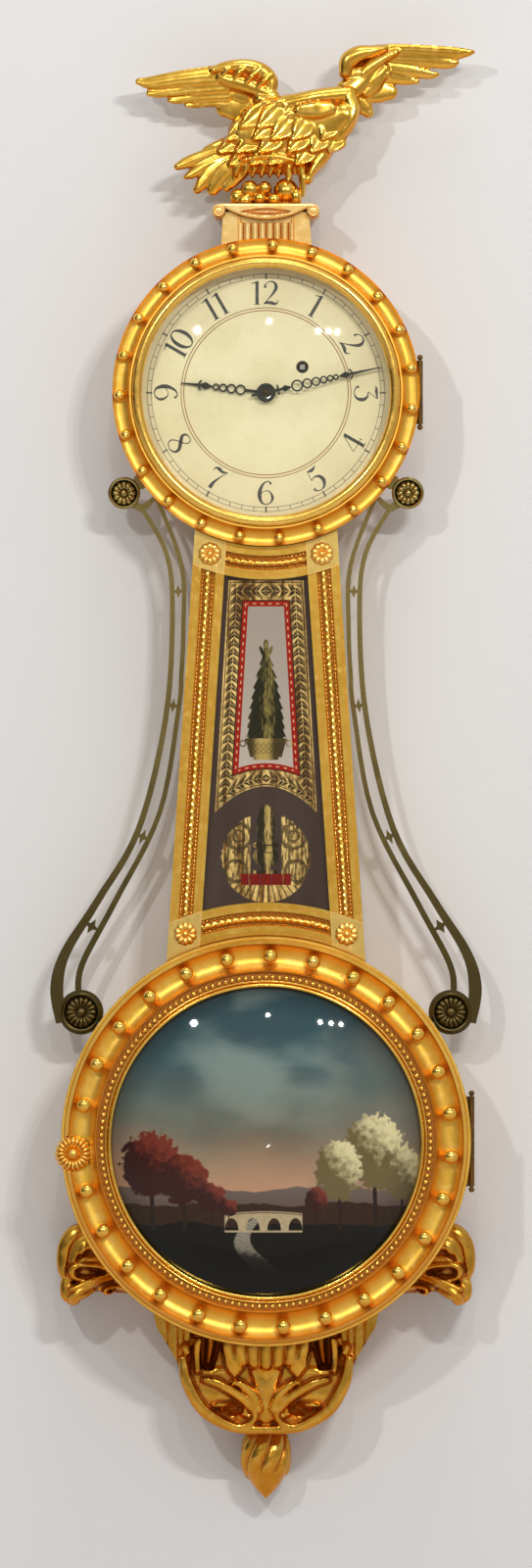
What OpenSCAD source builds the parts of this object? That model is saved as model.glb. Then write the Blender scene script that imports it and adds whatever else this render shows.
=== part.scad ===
// Girandole wall clock: a weight-driven timepiece with a round head, a tapered throat and
// a round lower box with a domed tablet, carved and gilt, with brass side arms.
// Millimetres. The wall is the plane y = 0, the front faces -Y and +Z is up.
// The origin is the centre of the hanger hole, on the wall.

/* [Overall] */
// Height of the hanger hole above the head centre
hanger_drop = 62; // [60:1:66]
// Distance from the head centre down to the lower box centre
centre_gap = 600; // [594:1:612]
// Gap between pieces that lie against each other
fit = 0.1; // [0.05:0.01:0.15]
// Radial clearance of turning pivots
run_fit = 0.06; // [0.04:0.01:0.1]
// Gap between a closed door and its case
door_gap = 0.4; // [0.3:0.1:0.8]

/* [Head] */
// Outer radius of the head case
head_r = 118; // [116:0.5:120]
// Depth of the head case from the wall
head_depth = 76; // [75:0.5:80]
// Wall thickness of the round cases
case_wall = 10; // [9:0.5:11]
// Thickness of the back boards
back_t = 8; // [6:0.5:10]
// How far the bezel stands out past the head case
bezel_lip = 5.2; // [4:0.2:6]
// Height of the bezel rim above its back face
bezel_h = 12; // [11:0.5:14]
// Width of the bezel, from its rim in to the clear opening of the head glass
bezel_w = 23.7; // [22.7:0.5:26.2]
// Rise of the head glass at its centre
head_dome = 16; // [12:1:18]
// Number of balls on the bezel
bezel_ball_n = 23; // [20:1:26]
// Radius of the bezel balls
bezel_ball_r = 4.6; // [4:0.1:4.8]

/* [Dial and hands] */
// Depth of the dial's back face from the wall
dial_d = 66; // [65.5:0.5:66.5]
// Thickness of the dial
dial_t = 1.5; // [1:0.1:1.8]
// Length of the minute hand
minute_len = 94; // [88:1:96]
// Length of the hour hand
hour_len = 68.8; // [64:0.2:72]
// Minute hand's angle, clockwise from 12
minute_at = 77.6; // [0:0.1:359]
// Hour hand's angle, clockwise from 12
hour_at = 276.5; // [0:0.1:359]

/* [Throat] */
// Half width of the throat where it leaves the head
throat_top = 57.6; // [55:0.2:59]
// Half width of the throat where it meets the lower box
throat_low = 78.7; // [76:0.2:80]
// Room between the pendulum rod and the throat's front frame
rod_room = 5; // [4:0.2:6]
// Wall of the throat box
throat_wall = 8; // [7:0.5:9]
// Width of the throat frame's mouldings
frame_w = 26; // [25:0.5:27]
// Thickness of the throat frame
frame_t = 14; // [13:0.5:15]

/* [Lower box] */
// Outer radius of the lower case
lower_r = 161; // [159:0.5:163]
// Depth of the lower case
lower_depth = 92; // [90:0.5:96]
// How far the door stands out past the lower case
door_lip = 3; // [2:0.2:4]
// Height of the door rim above its back face
door_h = 14; // [13:0.5:16]
// Width of the door's frame, from its rim in to the clear opening of the domed tablet
door_w = 40.5; // [39:0.5:44]
// Rise of the tablet at its centre
tablet_dome = 22; // [16:1:26]
// Places for balls round the door, one of them taken by the latch rosette
door_ball_n = 27; // [25:1:29]
// Radius of the door balls
door_ball_r = 6.2; // [5:0.1:6.6]
// Thickness of the glasses
glass_t = 2; // [1.6:0.1:2.4]

/* [Ornament] */
// Height of the plinth cap's top above the head centre
plinth_top = 151.5; // [149:0.5:154]
// Half width of the plinth block
plinth_half = 36; // [32:0.5:38]
// Depth of the plinth block's front face from the wall
plinth_d = 68; // [64:1:72]
// Thickness of the side arms
arm_t = 3.5; // [2.5:0.1:4]
// Depth of the side arms' back face from the wall
arm_d = 40; // [36:1:44]
// Depth of the base bracket where it meets the lower box
bracket_d = 70; // [64:1:76]
// Radius of the pendant bud at its widest
bud_r = 21; // [18:0.5:22]

/* [Movement] */
// Length of the pendulum from its flexing point to the bob's centre
pendulum_len = 620; // [610:1:625]
// Radius of the bob
bob_r = 34; // [28:0.5:38]
// Radius of the cord's path on the barrel
cord_at_r = 7.6; // [7.4:0.1:7.8]
// Diameter of the weight cord
cord_w = 1.6; // [1.2:0.1:1.8]
// Radius of the cord's path on the pulley
pulley_r = 14; // [14:0.1:14.2]
// Height of the weight
weight_h = 130; // [110:1:136]
// Width of the weight
weight_w = 52; // [46:1:54]
// Depth of the weight
weight_t = 30; // [26:1:31]
// Thickness of the movement plates
plate_t = 2.5; // [2:0.1:3]
// Radius of the thin pivots
pivot_r = 0.9; // [0.7:0.05:1.1]

/* [Hidden] */
$fn = 96;

head_u = -hanger_drop;
lower_u = head_u - centre_gap;
head_in = head_r - case_wall;
lower_in = lower_r - case_wall;
bezel_r = head_r + bezel_lip;
door_r = lower_r + door_lip;
sight_r = bezel_r - bezel_w;
tablet_r = door_r - door_w;
bezel_d = head_depth + door_gap;
door_d = lower_depth + door_gap;
door_ball_at = lower_r - 12.5;
bezel_ball_at = bezel_r - 5.7;
dial_r = sight_r + 8;
rod_d = 59;
rod_t = 2;
throat_depth = rod_d + rod_t + rod_room;
ledge_t = 3.5;

// Arbor places in the movement, from the head centre: across, up
P_CENTRE = [0, 0];
P_BARREL = [29.2, 20.7];
P_THIRD = [-15, 15.5];
P_ESCAPE = [-6, 34.5];
P_ANCHOR = [0, 52];
P_MOTION = [12.7, -12.7];
PILLARS = [[-31, -30], [43, -30], [-31, 57], [43, 57]];
plate_box = [-36, -36, 48, 64];
back_plate_d = 14;
front_plate_d = 48;
cord_d = 29;
cord_x = P_BARREL[0] - cord_at_r - pulley_r;
P_HOOK = [cord_x - pulley_r, -31];
weight_top = -479;
pulley_u = weight_top + pulley_r + 8;

T_GREAT = 96;
T_CENTRE_PINION = 8;
T_CENTRE = 64;
T_THIRD_PINION = 8;
T_THIRD = 76;
T_ESCAPE_PINION = 8;
T_ESCAPE = 30;
T_CANNON = 12;
T_MOTION = 36;
T_MOTION_PINION = 12;
T_HOUR = 48;

function module_of(p, q, a, b) = 2 * norm(p - q) / (a + b);
function bearing(p, q) = atan2(q[1] - p[1], q[0] - p[0]);
// Phase of gear b so that it meshes with gear a, whose own phase is given
function meshed(phase_a, p, q, a, b) =
  bearing(p, q) + 180 - (phase_a - bearing(p, q)) * a / b + 180 / b;
function polar(r, a) = [r * cos(a), r * sin(a)];
function along(r, clockwise) = [r * sin(clockwise), r * cos(clockwise)];

// Smooth curve through the given points, n steps between each two
function curve_at(p, i, t) =
  let (a = p[max(i - 1, 0)], b = p[i], c = p[i + 1], d = p[min(i + 2, len(p) - 1)])
  0.5 * (2 * b + (c - a) * t + (2 * a - 5 * b + 4 * c - d) * t * t + (3 * b - a - 3 * c + d) * t * t * t);
function curve(p, n) =
  concat([for (i = [0:len(p) - 2]) for (k = [0:n - 1]) curve_at(p, i, k / n)], [p[len(p) - 1]]);
function turned(v) = [-v[1], v[0]] / norm(v);
function side_of(c, i) = turned(c[min(i + 1, len(c) - 1)] - c[max(i - 1, 0)]);
// Half width of the throat at a height measured from the head centre
function throat_half(u) =
  throat_top + (throat_low - throat_top) * (-u - head_r) / (centre_gap - lower_r - head_r);

module front() rotate([90, 0, 0]) children();
module at_head() front() translate([0, head_u, 0]) children();
module at_lower() front() translate([0, lower_u, 0]) children();
module place(p) translate([p[0], p[1], 0]) children();
module slab(d0, d1) translate([0, 0, d0]) linear_extrude(d1 - d0) children();
module ring(ro, ri) difference() {
  circle(ro);
  circle(ri);
}
module bar(p, q, w) {
  t = turned(q - p) * w / 2;
  polygon([p + t, p - t, q - t, q + t]);
  place(p) circle(w / 2);
  place(q) circle(w / 2);
}
// A band along a curve of points [across, up, width]
module band(points, n) {
  c = curve(points, n);
  c2 = [for (q = c) [q[0], q[1]]];
  polygon(concat(
    [for (i = [0:len(c) - 1]) c2[i] + side_of(c2, i) * c[i][2] / 2],
    [for (i = [len(c) - 1:-1:0]) c2[i] - side_of(c2, i) * c[i][2] / 2]));
}
module box_at(x0, u0, d0, x1, u1, d1) translate([x0, u0, d0]) cube([x1 - x0, u1 - u0, d1 - d0]);
module layer(d) slab(d[0], d[1]) children();

// Screw with its head on the plane z = 0 and its shank along -z
screw_head_t = 1.2;
module screw(shank_r, length, head_r1) {
  cylinder(r = head_r1, h = screw_head_t);
  translate([0, 0, -length]) cylinder(r = shank_r, h = length);
}
module screw_hole(shank_r, length)
  translate([0, 0, -length - 0.5]) cylinder(r = shank_r + fit, h = length + 5);

// Gear blank with thin cycloid-like teeth, phase in degrees
module gear2d(z, m, phase, wheel = true) {
  r = z * m / 2;
  profile = wheel ? [[-1.35, 0.80], [-0.2, 0.72], [0.55, 0.52], [1.15, 0.16]]
    : [[-1.65, 0.42], [0, 0.50], [0.45, 0.34], [0.65, 0.14]];
  last = len(profile) - 1;
  rotate(phase) polygon([for (k = [0:z - 1]) for (j = [0:2 * last + 1])
    let (q = profile[j <= last ? j : 2 * last + 1 - j], rr = r + q[0] * m, turn = 180 / PI * q[1] * m / rr)
    polar(rr, 360 * k / z + (j <= last ? -turn : turn))]);
}
// Spaces between the spokes of a wheel
module crossings(ro, ri, n, spoke) for (k = [0:n - 1]) rotate(360 * (k + 0.5) / n) difference() {
  intersection() {
    ring(ro, ri);
    polygon([[0, 0], polar(2 * ro, -180 / n), [2 * ro, 0], polar(2 * ro, 180 / n)]);
  }
  rotate(-180 / n) translate([0, -spoke / 2]) square([2 * ro, spoke]);
  rotate(180 / n) translate([0, -spoke / 2]) square([2 * ro, spoke]);
}
module arbor(r, d0, d1) translate([0, 0, d0]) cylinder(r = r, h = d1 - d0);
module bore(r) arbor(r, -20, 200);
// Arbor with thin pivots in both plates
module pivoted_arbor(r) {
  arbor(pivot_r, back_plate_d, front_plate_d + plate_t);
  arbor(r, back_plate_d + plate_t + fit, front_plate_d - fit);
}
// Solid of a glass dome over a circle of radius r, its edge at depth d
function dome_radius(r, rise) = (r * r + rise * rise) / (2 * rise);
module dome(r, rise, d) {
  big = dome_radius(r, rise);
  intersection() {
    translate([0, 0, d + rise - big]) sphere(big, $fn = 200);
    slab(d, d + rise + 1) circle(r);
  }
}
module glass_dome(r, rise, d) difference() {
  union() {
    translate([0, 0, d - glass_t]) cylinder(r = r, h = glass_t);
    dome(r, rise, d);
  }
  translate([0, 0, -glass_t]) dome(r - glass_t, rise - 0.4, d);
  slab(d - 2 * glass_t, d - glass_t + 0.01) circle(r - glass_t);
}
// Flower of n petals with a raised middle, on the plane z = 0
module flower(r, n, h) {
  linear_extrude(h) {
    circle(r * 0.42);
    for (k = [0:n - 1]) rotate(360 * k / n) bar([r * 0.35, 0], [r * 0.84, 0], r * 0.3);
  }
  translate([0, 0, h - 0.1]) cylinder(r1 = r * 0.3, r2 = r * 0.14, h = 1.3);
}

// Hinges of the two doors: axis across and depth, half length
hinge_pin_r = 1;
knuckle_r = 2.3;
leaf_t = 1.5;
leaf_w = 17;
head_hinge_x = bezel_r + 0.3;
head_hinge_half = 25.5;
door_hinge_x = door_r + 0.6;
door_hinge_half = 36;
function parting(depth) = depth + door_gap / 2;

module at_head_hinge() translate([head_hinge_x, 0, parting(head_depth)]) children();
module at_door_hinge() translate([door_hinge_x, 0, parting(lower_depth)]) children();
module knuckle(u0, u1) translate([0, u0, 0]) rotate([-90, 0, 0]) cylinder(r = knuckle_r, h = u1 - u0);
module pin_bore(half) translate([0, -half - 1, 0]) rotate([-90, 0, 0])
  cylinder(r = hinge_pin_r + run_fit, h = 2 * half + 2);
// Leaf screwed to a flat on the case side, with the outer two knuckles
flat_in = 3;
module case_leaf(half, case_r, axis_x) {
  plate_x = case_r - flat_in - axis_x;
  third = half / 3;
  difference() {
    union() {
      box_at(plate_x + fit, -half, -20, plate_x + leaf_t, half, -0.4);
      for (u = [-half, third]) box_at(plate_x + fit, u, -leaf_t - 0.9, 0, u + half - third, -0.4);
      knuckle(-half, -third);
      knuckle(third, half);
    }
    pin_bore(half);
  }
}
// Leaf let into the back of the door, with the middle knuckle
module door_leaf(half) {
  third = half / 3;
  difference() {
    union() {
      box_at(-leaf_w, -half, door_gap / 2 + fit, -knuckle_r - 0.3, half, door_gap / 2 + leaf_t);
      box_at(-knuckle_r - 0.5, -third + 0.3, door_gap / 2 + fit, 0, third - 0.3, door_gap / 2 + leaf_t);
      knuckle(-third + 0.3, third - 0.3);
    }
    pin_bore(half);
  }
}
module hinge_pin(half) {
  translate([0, -half - 0.6, 0]) rotate([-90, 0, 0]) cylinder(r = hinge_pin_r, h = 2 * half + 1.2);
  for (s = [-1, 1]) translate([0, s * (half + knuckle_r + 0.2), 0]) sphere(knuckle_r);
}
// Room for the leaf and the knuckles in the door
module door_hinge_room(half) {
  box_at(-leaf_w - fit, -half - fit, -2, 0, half + fit, door_gap / 2 + leaf_t + fit);
  box_at(-knuckle_r - 0.6, -half - 2 * knuckle_r - 1, -2, 4, half + 2 * knuckle_r + 1, knuckle_r + 0.4);
}
// Flat on the side of the case for its leaf
module case_flat(half, case_r, axis_x)
  box_at(case_r - flat_in - axis_x, -half - 0.3, -21, 6, half + 0.3, 1);

// Latch of the lower door: a rosette outside turns a tongue behind the door
latch_in = 6.4;
latch_at = polar(lower_r - latch_in, 183.5);
tongue_len = 11;
tongue_w = 4;
tongue_t = 2.5;
shaft_r = 2.5;
tongue_d = lower_depth - 6;
strike_t = 1.2;

// Places that repeat
module at_dial_screws() for (a = [45:90:315]) rotate(a)
  translate([dial_r - 3, 0, dial_d + dial_t]) children();
module at_pillars() for (p = PILLARS) place(p) children();
module at_strike_screws() for (s = [-1, 1]) place(latch_at)
  translate([-1, s * 17.5, lower_depth]) children();
// Feet of the side arms lie on the round cases: radius, angle from straight up, case centre
function off_head(gap, angle) = polar(head_r + gap, angle);
top_rosette = off_head(21.4, -35);
function off_lower(gap, angle) = polar(lower_r + gap, angle) - [0, centre_gap];
low_rosette = off_lower(19.6, 34.5);
low_rel = low_rosette + [0, centre_gap];
module at_top_foot() rotate(bearing([0, 0], top_rosette)) translate([head_r, 0, arm_d]) children();
module at_low_foot() translate([0, -centre_gap, 0]) rotate(bearing([0, 0], low_rel))
  translate([lower_r, 0, arm_d]) children();
module arm_foot_screw() translate([foot_t + fit, 0, foot_screw_d]) rotate([0, 90, 0]) children();
foot_t = 2;
foot_w = 12;
foot_len = 16;
foot_screw_d = 10;

case_gold = [0.80, 0.60, 0.25];
bright_gold = [0.88, 0.69, 0.32];
hand_steel = [0.25, 0.28, 0.33];
arm_brass = [0.45, 0.38, 0.22];

module head_case() color(case_gold) at_head() difference() {
  union() {
    difference() {
      slab(0, head_depth) circle(head_r);
      slab(back_t, head_depth + 1) circle(head_in);
    }
    slab(dial_d - ledge_t, dial_d) ring(head_in + 1, dial_r - 6.5);
    at_pillars() slab(back_t - 1, back_plate_d) circle(6);
  }
  at_pillars() arbor(1.5 + fit, back_t + 1, back_plate_d + 1);
  // Way down into the throat for the weight and the pendulum
  box_at(cord_x - weight_w / 2 - 5, -head_r - 1, back_t + 3,
    cord_x + weight_w / 2 + 5, -head_in + 12, dial_d - ledge_t - 0.5);
  // Room for the nail behind the hanger plate, and the plate's own recess
  place([0, hanger_drop]) {
    slab(-1, hanger_plate_t) hanger_outline(fit);
    arbor(9, -1, back_t + 1);
    box_at(-9, 0, -1, 9, keyhole_up, back_t + 1);
  }
  at_dial_screws() screw_hole(1.2, 5);
  at_head_hinge() case_flat(head_hinge_half, head_r, head_hinge_x);
  at_top_foot() arm_foot_screw() screw_hole(1.4, 7);
  mirror([1, 0, 0]) at_top_foot() arm_foot_screw() screw_hole(1.4, 7);
}

hanger_r = 5;
hanger_plate_t = 2.5;
keyhole_up = 12;
keyhole_w = 4;
module hanger_outline(grow) square([36 + 2 * grow, 54 + 2 * grow], center = true);
module hanger_plate() color("dimgray") front() difference() {
  slab(0, hanger_plate_t - fit) hanger_outline(0);
  slab(-1, hanger_plate_t + 1) {
    circle(hanger_r);
    translate([-keyhole_w / 2, 0]) square([keyhole_w, keyhole_up]);
    for (s = [-1, 1]) translate([0, s * 22]) circle(1.4);
  }
}

// Plinth block on top of the head, with a reeded panel
reed_n = 7;
reed_w = 4.4;
panel_half = 21;
plinth_back = 14;
plinth_high = plinth_top - 6.5;
module plinth_outline() polygon([[-plinth_half - 1, head_r - 18], [plinth_half + 2, head_r - 18],
  [plinth_half - 1.5, plinth_high], [-plinth_half + 1.5, plinth_high]]);
module plinth() color(case_gold) at_head() difference() {
  slab(plinth_back, plinth_d) plinth_outline();
  slab(plinth_d - 3, plinth_d + 1) difference() {
    square([2 * panel_half, 300], center = true);
    for (k = [0:reed_n - 1]) translate([panel_half * (2 * k + 1 - reed_n) / reed_n, 0])
      square([reed_w, 301], center = true);
  }
  slab(0, head_depth + 1) circle(head_r + fit);
  slab(0, head_depth + 1) cap_middle(fit);
  for (s = [-1, 1]) slab(0, head_depth + 1) cap_roll(s, fit);
}
// Cap with a rolled end on each side, a sagging underside and a lens-shaped recess in the front
cap_half = 43.3;
cap_back = 10;
cap_front = plinth_d + 8;
cap_low = plinth_top - 12.6;
cap_sag_r = 64.8;
roll_r = 5.3;
lens_r = 52;
lens_half = 2.6;
lens_u = plinth_top - 6.6;
module cap_middle(grow = 0) intersection() {
  translate([0, cap_low + cap_sag_r]) circle(cap_sag_r + grow);
  translate([-cap_half + roll_r + 0.6, cap_low - 1])
    square([2 * (cap_half - roll_r - 0.6), plinth_top - cap_low + 1]);
}
module cap_roll(side, grow = 0)
  translate([side * (cap_half - roll_r), plinth_top - 0.3 - roll_r]) circle(roll_r + grow);
module plinth_cap() color(bright_gold) at_head() difference() {
  union() {
    slab(cap_back, cap_front) cap_middle();
    for (s = [-1, 1]) slab(cap_back, cap_front) cap_roll(s);
  }
  slab(cap_front - 2, cap_front + 1) intersection() {
    translate([0, lens_u + lens_r - lens_half]) circle(lens_r);
    translate([0, lens_u - lens_r + lens_half]) circle(lens_r);
  }
}

// Eagle: a body on a rocky perch, with two spread wings behind it
ball_at = [16, 163];
wing_d = 46;
module eagle_body() color(bright_gold) at_head() difference() {
  union() {
    hull() {
      translate([-17, 205, wing_d + 4]) sphere(9, $fn = 24);
      translate([12, 213, wing_d + 8]) sphere(22, $fn = 32);
      translate([44, 212, wing_d + 9]) sphere(23, $fn = 32);
    }
    hull() {
      translate([42, 220, wing_d + 9]) sphere(19, $fn = 24);
      translate([57, 232, wing_d + 12]) sphere(13, $fn = 32);
    }
    hull() {
      translate([60, 229, wing_d + 17]) sphere(7, $fn = 24);
      translate([65, 211, wing_d + 20]) sphere(1.6, $fn = 12);
    }
    hull() {
      translate([30, 200, wing_d + 8]) sphere(17, $fn = 24);
      translate([22, 178, wing_d + 7]) sphere(10, $fn = 24);
    }
    hull() {
      translate([8, 198, wing_d + 8]) sphere(13, $fn = 24);
      translate([10, 178, wing_d + 7]) sphere(8, $fn = 24);
    }
    // Tail feathers, side by side
    slab(wing_d, wing_d + 7) {
      bar([-16, 201], [-66, 183], 8);
      bar([-16, 198], [-61, 174], 8);
      bar([-15, 196], [-54, 166], 8);
      bar([-12, 193], [-44, 163], 8);
    }
  }
  box_at(-200, 100, -50, 200, 300, wing_d + fit);
  place(ball_at) translate([0, 0, wing_d + 6]) sphere(10.3, $fn = 32);
  box_at(-60, 100, 0, 60, perch_top + 0.3, 120);
}
perch_top = 166;
module eagle_perch() color(case_gold) at_head() difference() {
  union() {
    slab(26, wing_d + 22) polygon([[-29, plinth_top + fit], [27, plinth_top + fit], [25, 158], [19, 160],
      [8, 163], [-4, perch_top], [-14, 164], [-22, 158], [-27, 156]]);
    place(ball_at) translate([0, 0, wing_d + 6]) sphere(10);
  }
  box_at(-60, 100, -10, 60, plinth_top + fit, 200);
}
left_wing = [[-19, 214], [-24, 219.6], [-42, 223], [-61.5, 230], [-76, 234], [-93.6, 239.5],
  [-103.6, 255], [-72, 262], [-39, 267], [-12.7, 268], [7.3, 257], [22, 246], [22, 208], [-8, 204]];
right_wing = [[50, 236], [58, 266], [78, 277], [109, 281], [140, 279.5], [167, 276], [153.6, 264],
  [146, 263], [138, 255], [131, 255], [123.7, 249], [115, 250], [104.8, 247], [104.8, 238], [87, 231],
  [83.8, 223], [64, 214], [36, 206], [22.2, 208], [22.2, 246]];
// A wing is a thin board with a thicker shoulder and long feathers side by side
module wing(outline, root, tip, spread) {
  slab(wing_d - 9, wing_d - 3) polygon(outline);
  slab(wing_d - 4, wing_d) intersection() {
    polygon(outline);
    place(root) circle(spread);
  }
  for (k = [0:5]) slab(wing_d - 4, wing_d - 1 - (k % 2)) intersection() {
    polygon(outline);
    bar(root + [0, 4 * k - 10], tip + [0, 6.4 * k - 14], 5.6);
  }
}
module eagle_left_wing() color(bright_gold) at_head() wing(left_wing, [-4, 236], [-104, 246], 31);
module eagle_right_wing() color(bright_gold) at_head() wing(right_wing, [50, 240], [166, 264], 38);

module dial() color("ivory") at_head() difference() {
  slab(dial_d, dial_d + dial_t) circle(dial_r);
  arbor(hour_pipe_r + 1, 0, head_depth);
  place(P_BARREL) arbor(4.2, 0, head_depth);
  at_dial_screws() screw_hole(1.2, 5);
}

// Door leaves and case leaves of both hinges
module case_hinge_leaves() color("darkgoldenrod") {
  at_head() at_head_hinge() case_leaf(head_hinge_half, head_r, head_hinge_x);
  at_lower() at_door_hinge() case_leaf(door_hinge_half, lower_r, door_hinge_x);
}
module bezel_hinge_leaf() color("darkgoldenrod") at_head() at_head_hinge() door_leaf(head_hinge_half);
module door_hinge_leaf() color("darkgoldenrod") at_lower() at_door_hinge() door_leaf(door_hinge_half);
module hinge_pins() color("gold") {
  at_head() at_head_hinge() hinge_pin(head_hinge_half);
  at_lower() at_door_hinge() hinge_pin(door_hinge_half);
}

// Bezel of the head: rim, cove for the balls, step, and a seat for the sight ring
bezel_bore = sight_r + 4;
bezel_seat = bezel_d + 7.6;
bezel_floor = bezel_d + 6.5;
module head_bezel() color(case_gold) at_head() difference() {
  rotate_extrude() {
    difference() {
      polygon([[bezel_bore, bezel_d], [bezel_r, bezel_d], [bezel_r, bezel_d + bezel_h - 1.5],
        [bezel_r - 1, bezel_d + bezel_h], [bezel_r - 2.6, bezel_d + bezel_h],
        [bezel_r - 3, bezel_d + bezel_h - 1], [sight_r + 12.4, bezel_d + bezel_h - 1],
        [sight_r + 12, bezel_d + bezel_h + 1], [sight_r + 8.6, bezel_d + bezel_h + 1],
        [sight_r + 8.6, bezel_seat], [bezel_bore, bezel_seat]]);
      translate([bezel_ball_at, bezel_floor + 8]) circle(8);
    }
  }
  at_head_hinge() door_hinge_room(head_hinge_half);
}
module bezel_balls() color(bright_gold) at_head()
  for (k = [0:bezel_ball_n - 1]) translate(concat(along(bezel_ball_at, 2.6 + 360 * k / bezel_ball_n),
    [bezel_floor + bezel_ball_r + fit])) sphere(bezel_ball_r);
// Brass ring that holds the glass
module sight_ring() color("goldenrod") at_head() rotate_extrude() difference() {
  union() {
    translate([sight_r, bezel_seat + fit]) square([8.4, 4]);
    translate([sight_r + 4.2, bezel_seat + 4 + fit]) circle(4.2);
  }
  translate([0, bezel_seat - 10 + fit]) square([200, 10]);
}
head_glass_r = bezel_bore - 0.4;
module head_glass() color([0.8, 0.85, 0.85, 0.4]) at_head()
  glass_dome(head_glass_r, head_dome, bezel_seat - 1.6);

// Throat: an open-ended box, and the outline that its frame follows
module throat_sides(inset) {
  u0 = -head_r + 40;
  u1 = -centre_gap + lower_r - 60;
  polygon([[-throat_half(u0) + inset, u0], [throat_half(u0) - inset, u0],
    [throat_half(u1) - inset, u1], [-throat_half(u1) + inset, u1]]);
}
// Outline of the throat, drawn in by an inset, its ends following the two round cases
module throat_outline(inset, top_r, low_r) difference() {
  throat_sides(inset);
  circle(top_r + inset);
  translate([0, -centre_gap]) circle(low_r + inset);
}
module throat_zone(a, b, top_r = bezel_r + 0.8, low_r = lower_r + 4) difference() {
  throat_outline(a, top_r, low_r);
  throat_outline(b, top_r, low_r);
}
module throat_case() color(case_gold) at_head() difference() {
  slab(0, throat_depth) throat_outline(0, head_r + fit, lower_r + fit);
  slab(back_t, throat_depth + 1) throat_sides(throat_wall);
}
band_w = 7;
channel_in = frame_w - 7;
channel_d = throat_depth + 6;
rail_r = bezel_r + 0.8;
rail_low_r = lower_r + 4;
module throat_frame() color(case_gold) at_head() difference() {
  union() {
    slab(throat_depth, channel_d) throat_outline(0, head_r + fit, lower_r + fit);
    slab(channel_d - 1, throat_depth + frame_t - 2) throat_zone(0, band_w);
    slab(channel_d - 1, throat_depth + frame_t - 3) throat_zone(channel_in, frame_w);
    // Square blocks in the corners carry the rosettes
    slab(channel_d - 1, throat_depth + frame_t - 2) corner_blocks();
  }
  slab(throat_depth - 1, throat_depth + frame_t + 1) throat_outline(frame_w, rail_r, rail_low_r);
  slab(throat_depth - 1, throat_depth + 4.2) throat_outline(frame_w - 4.4, rail_r, rail_low_r);
}
// Where the stiles and the rails cross
module corner_blocks(grow = 0) difference() {
  throat_outline(0, rail_r, rail_low_r);
  throat_sides(frame_w + grow);
  difference() {
    throat_sides(-1);
    circle(rail_r + frame_w + grow);
    translate([0, -centre_gap]) circle(rail_low_r + frame_w + grow);
  }
}
// Rope moulding in the frame's channel, between the corner blocks
rope_w = 5;
rope_front = throat_depth + frame_t - 2.5;
module throat_rope() color(bright_gold) at_head() slab(channel_d + fit, rope_front) difference() {
  throat_zone(frame_w / 2 - rope_w / 2, frame_w / 2 + rope_w / 2);
  corner_blocks(0.5);
}
// Centre of a corner block: x found on the stile's middle line
function block_u(x, r, c, s) = c + s * sqrt(pow(r + frame_w / 2, 2) - x * x);
block_top_x = throat_top - frame_w / 2 + 0.4;
block_low_x = throat_low - frame_w / 2 - 1;
module at_blocks() for (s = [-1, 1]) {
  place([s * block_top_x, block_u(block_top_x, rail_r, 0, -1)]) children();
  place([s * block_low_x, block_u(block_low_x, rail_low_r, -centre_gap, 1)]) children();
}
module throat_rosettes() color(bright_gold) at_head() at_blocks()
  translate([0, 0, throat_depth + frame_t - 2 + fit]) flower(9.6, 10, 2);
module throat_glass() color([0.45, 0.35, 0.28]) at_head()
  slab(throat_depth + 1.8, throat_depth + 1.8 + glass_t) throat_outline(frame_w - 4, rail_r, rail_low_r);
baffle_d = 46.5;
module weight_baffle() color("gray") at_head() slab(baffle_d, baffle_d + 0.8) difference() {
  throat_sides(throat_wall + fit);
  circle(head_r + 6);
  translate([0, -centre_gap]) circle(lower_r + 6);
}

// Lower case: a round box with its way in from the throat
steady_r = 3;
steady_at = [0, -118];
module lower_case() color(case_gold) at_lower() difference() {
  slab(0, lower_depth) circle(lower_r);
  slab(back_t, lower_depth + 1) circle(lower_in);
  box_at(-throat_half(-centre_gap + lower_r) + throat_wall + 14, lower_in - 14, back_t + 3,
    throat_half(-centre_gap + lower_r) - throat_wall - 14, lower_r + 2, throat_depth - 2);
  place(steady_at) arbor(steady_r, -1, back_t + 1);
  at_door_hinge() case_flat(door_hinge_half, lower_r, door_hinge_x);
  // Pocket for the latch tongue, and the seat of the strike plate
  place(latch_at) box_at(-4.2, -13.5, tongue_d - 8, 18, 13.5, lower_depth + 1);
  slab(lower_depth - strike_t, lower_depth + 1) strike_outline(fit);
  at_strike_screws() screw_hole(1, 5);
  translate([0, centre_gap, 0]) at_low_foot() arm_foot_screw() screw_hole(1.4, 7);
  translate([0, centre_gap, 0]) mirror([1, 0, 0]) at_low_foot() arm_foot_screw() screw_hole(1.4, 7);
}
module strike_outline(grow) intersection() {
  place(latch_at) translate([-5 - grow, -22 - grow]) square([19 + 2 * grow, 44 + 2 * grow]);
  circle(lower_r - 1 + grow);
}
module strike_plate() color("goldenrod") at_lower() difference() {
  slab(lower_depth - strike_t + fit, lower_depth) strike_outline(0);
  place(latch_at) slab(0, lower_depth + 1) {
    circle(shaft_r + 0.6);
    translate([-tongue_w / 2 - 0.6, 0]) square([tongue_w + 1.2, tongue_len + 1]);
  }
  at_strike_screws() screw_hole(1, 5);
}

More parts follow.
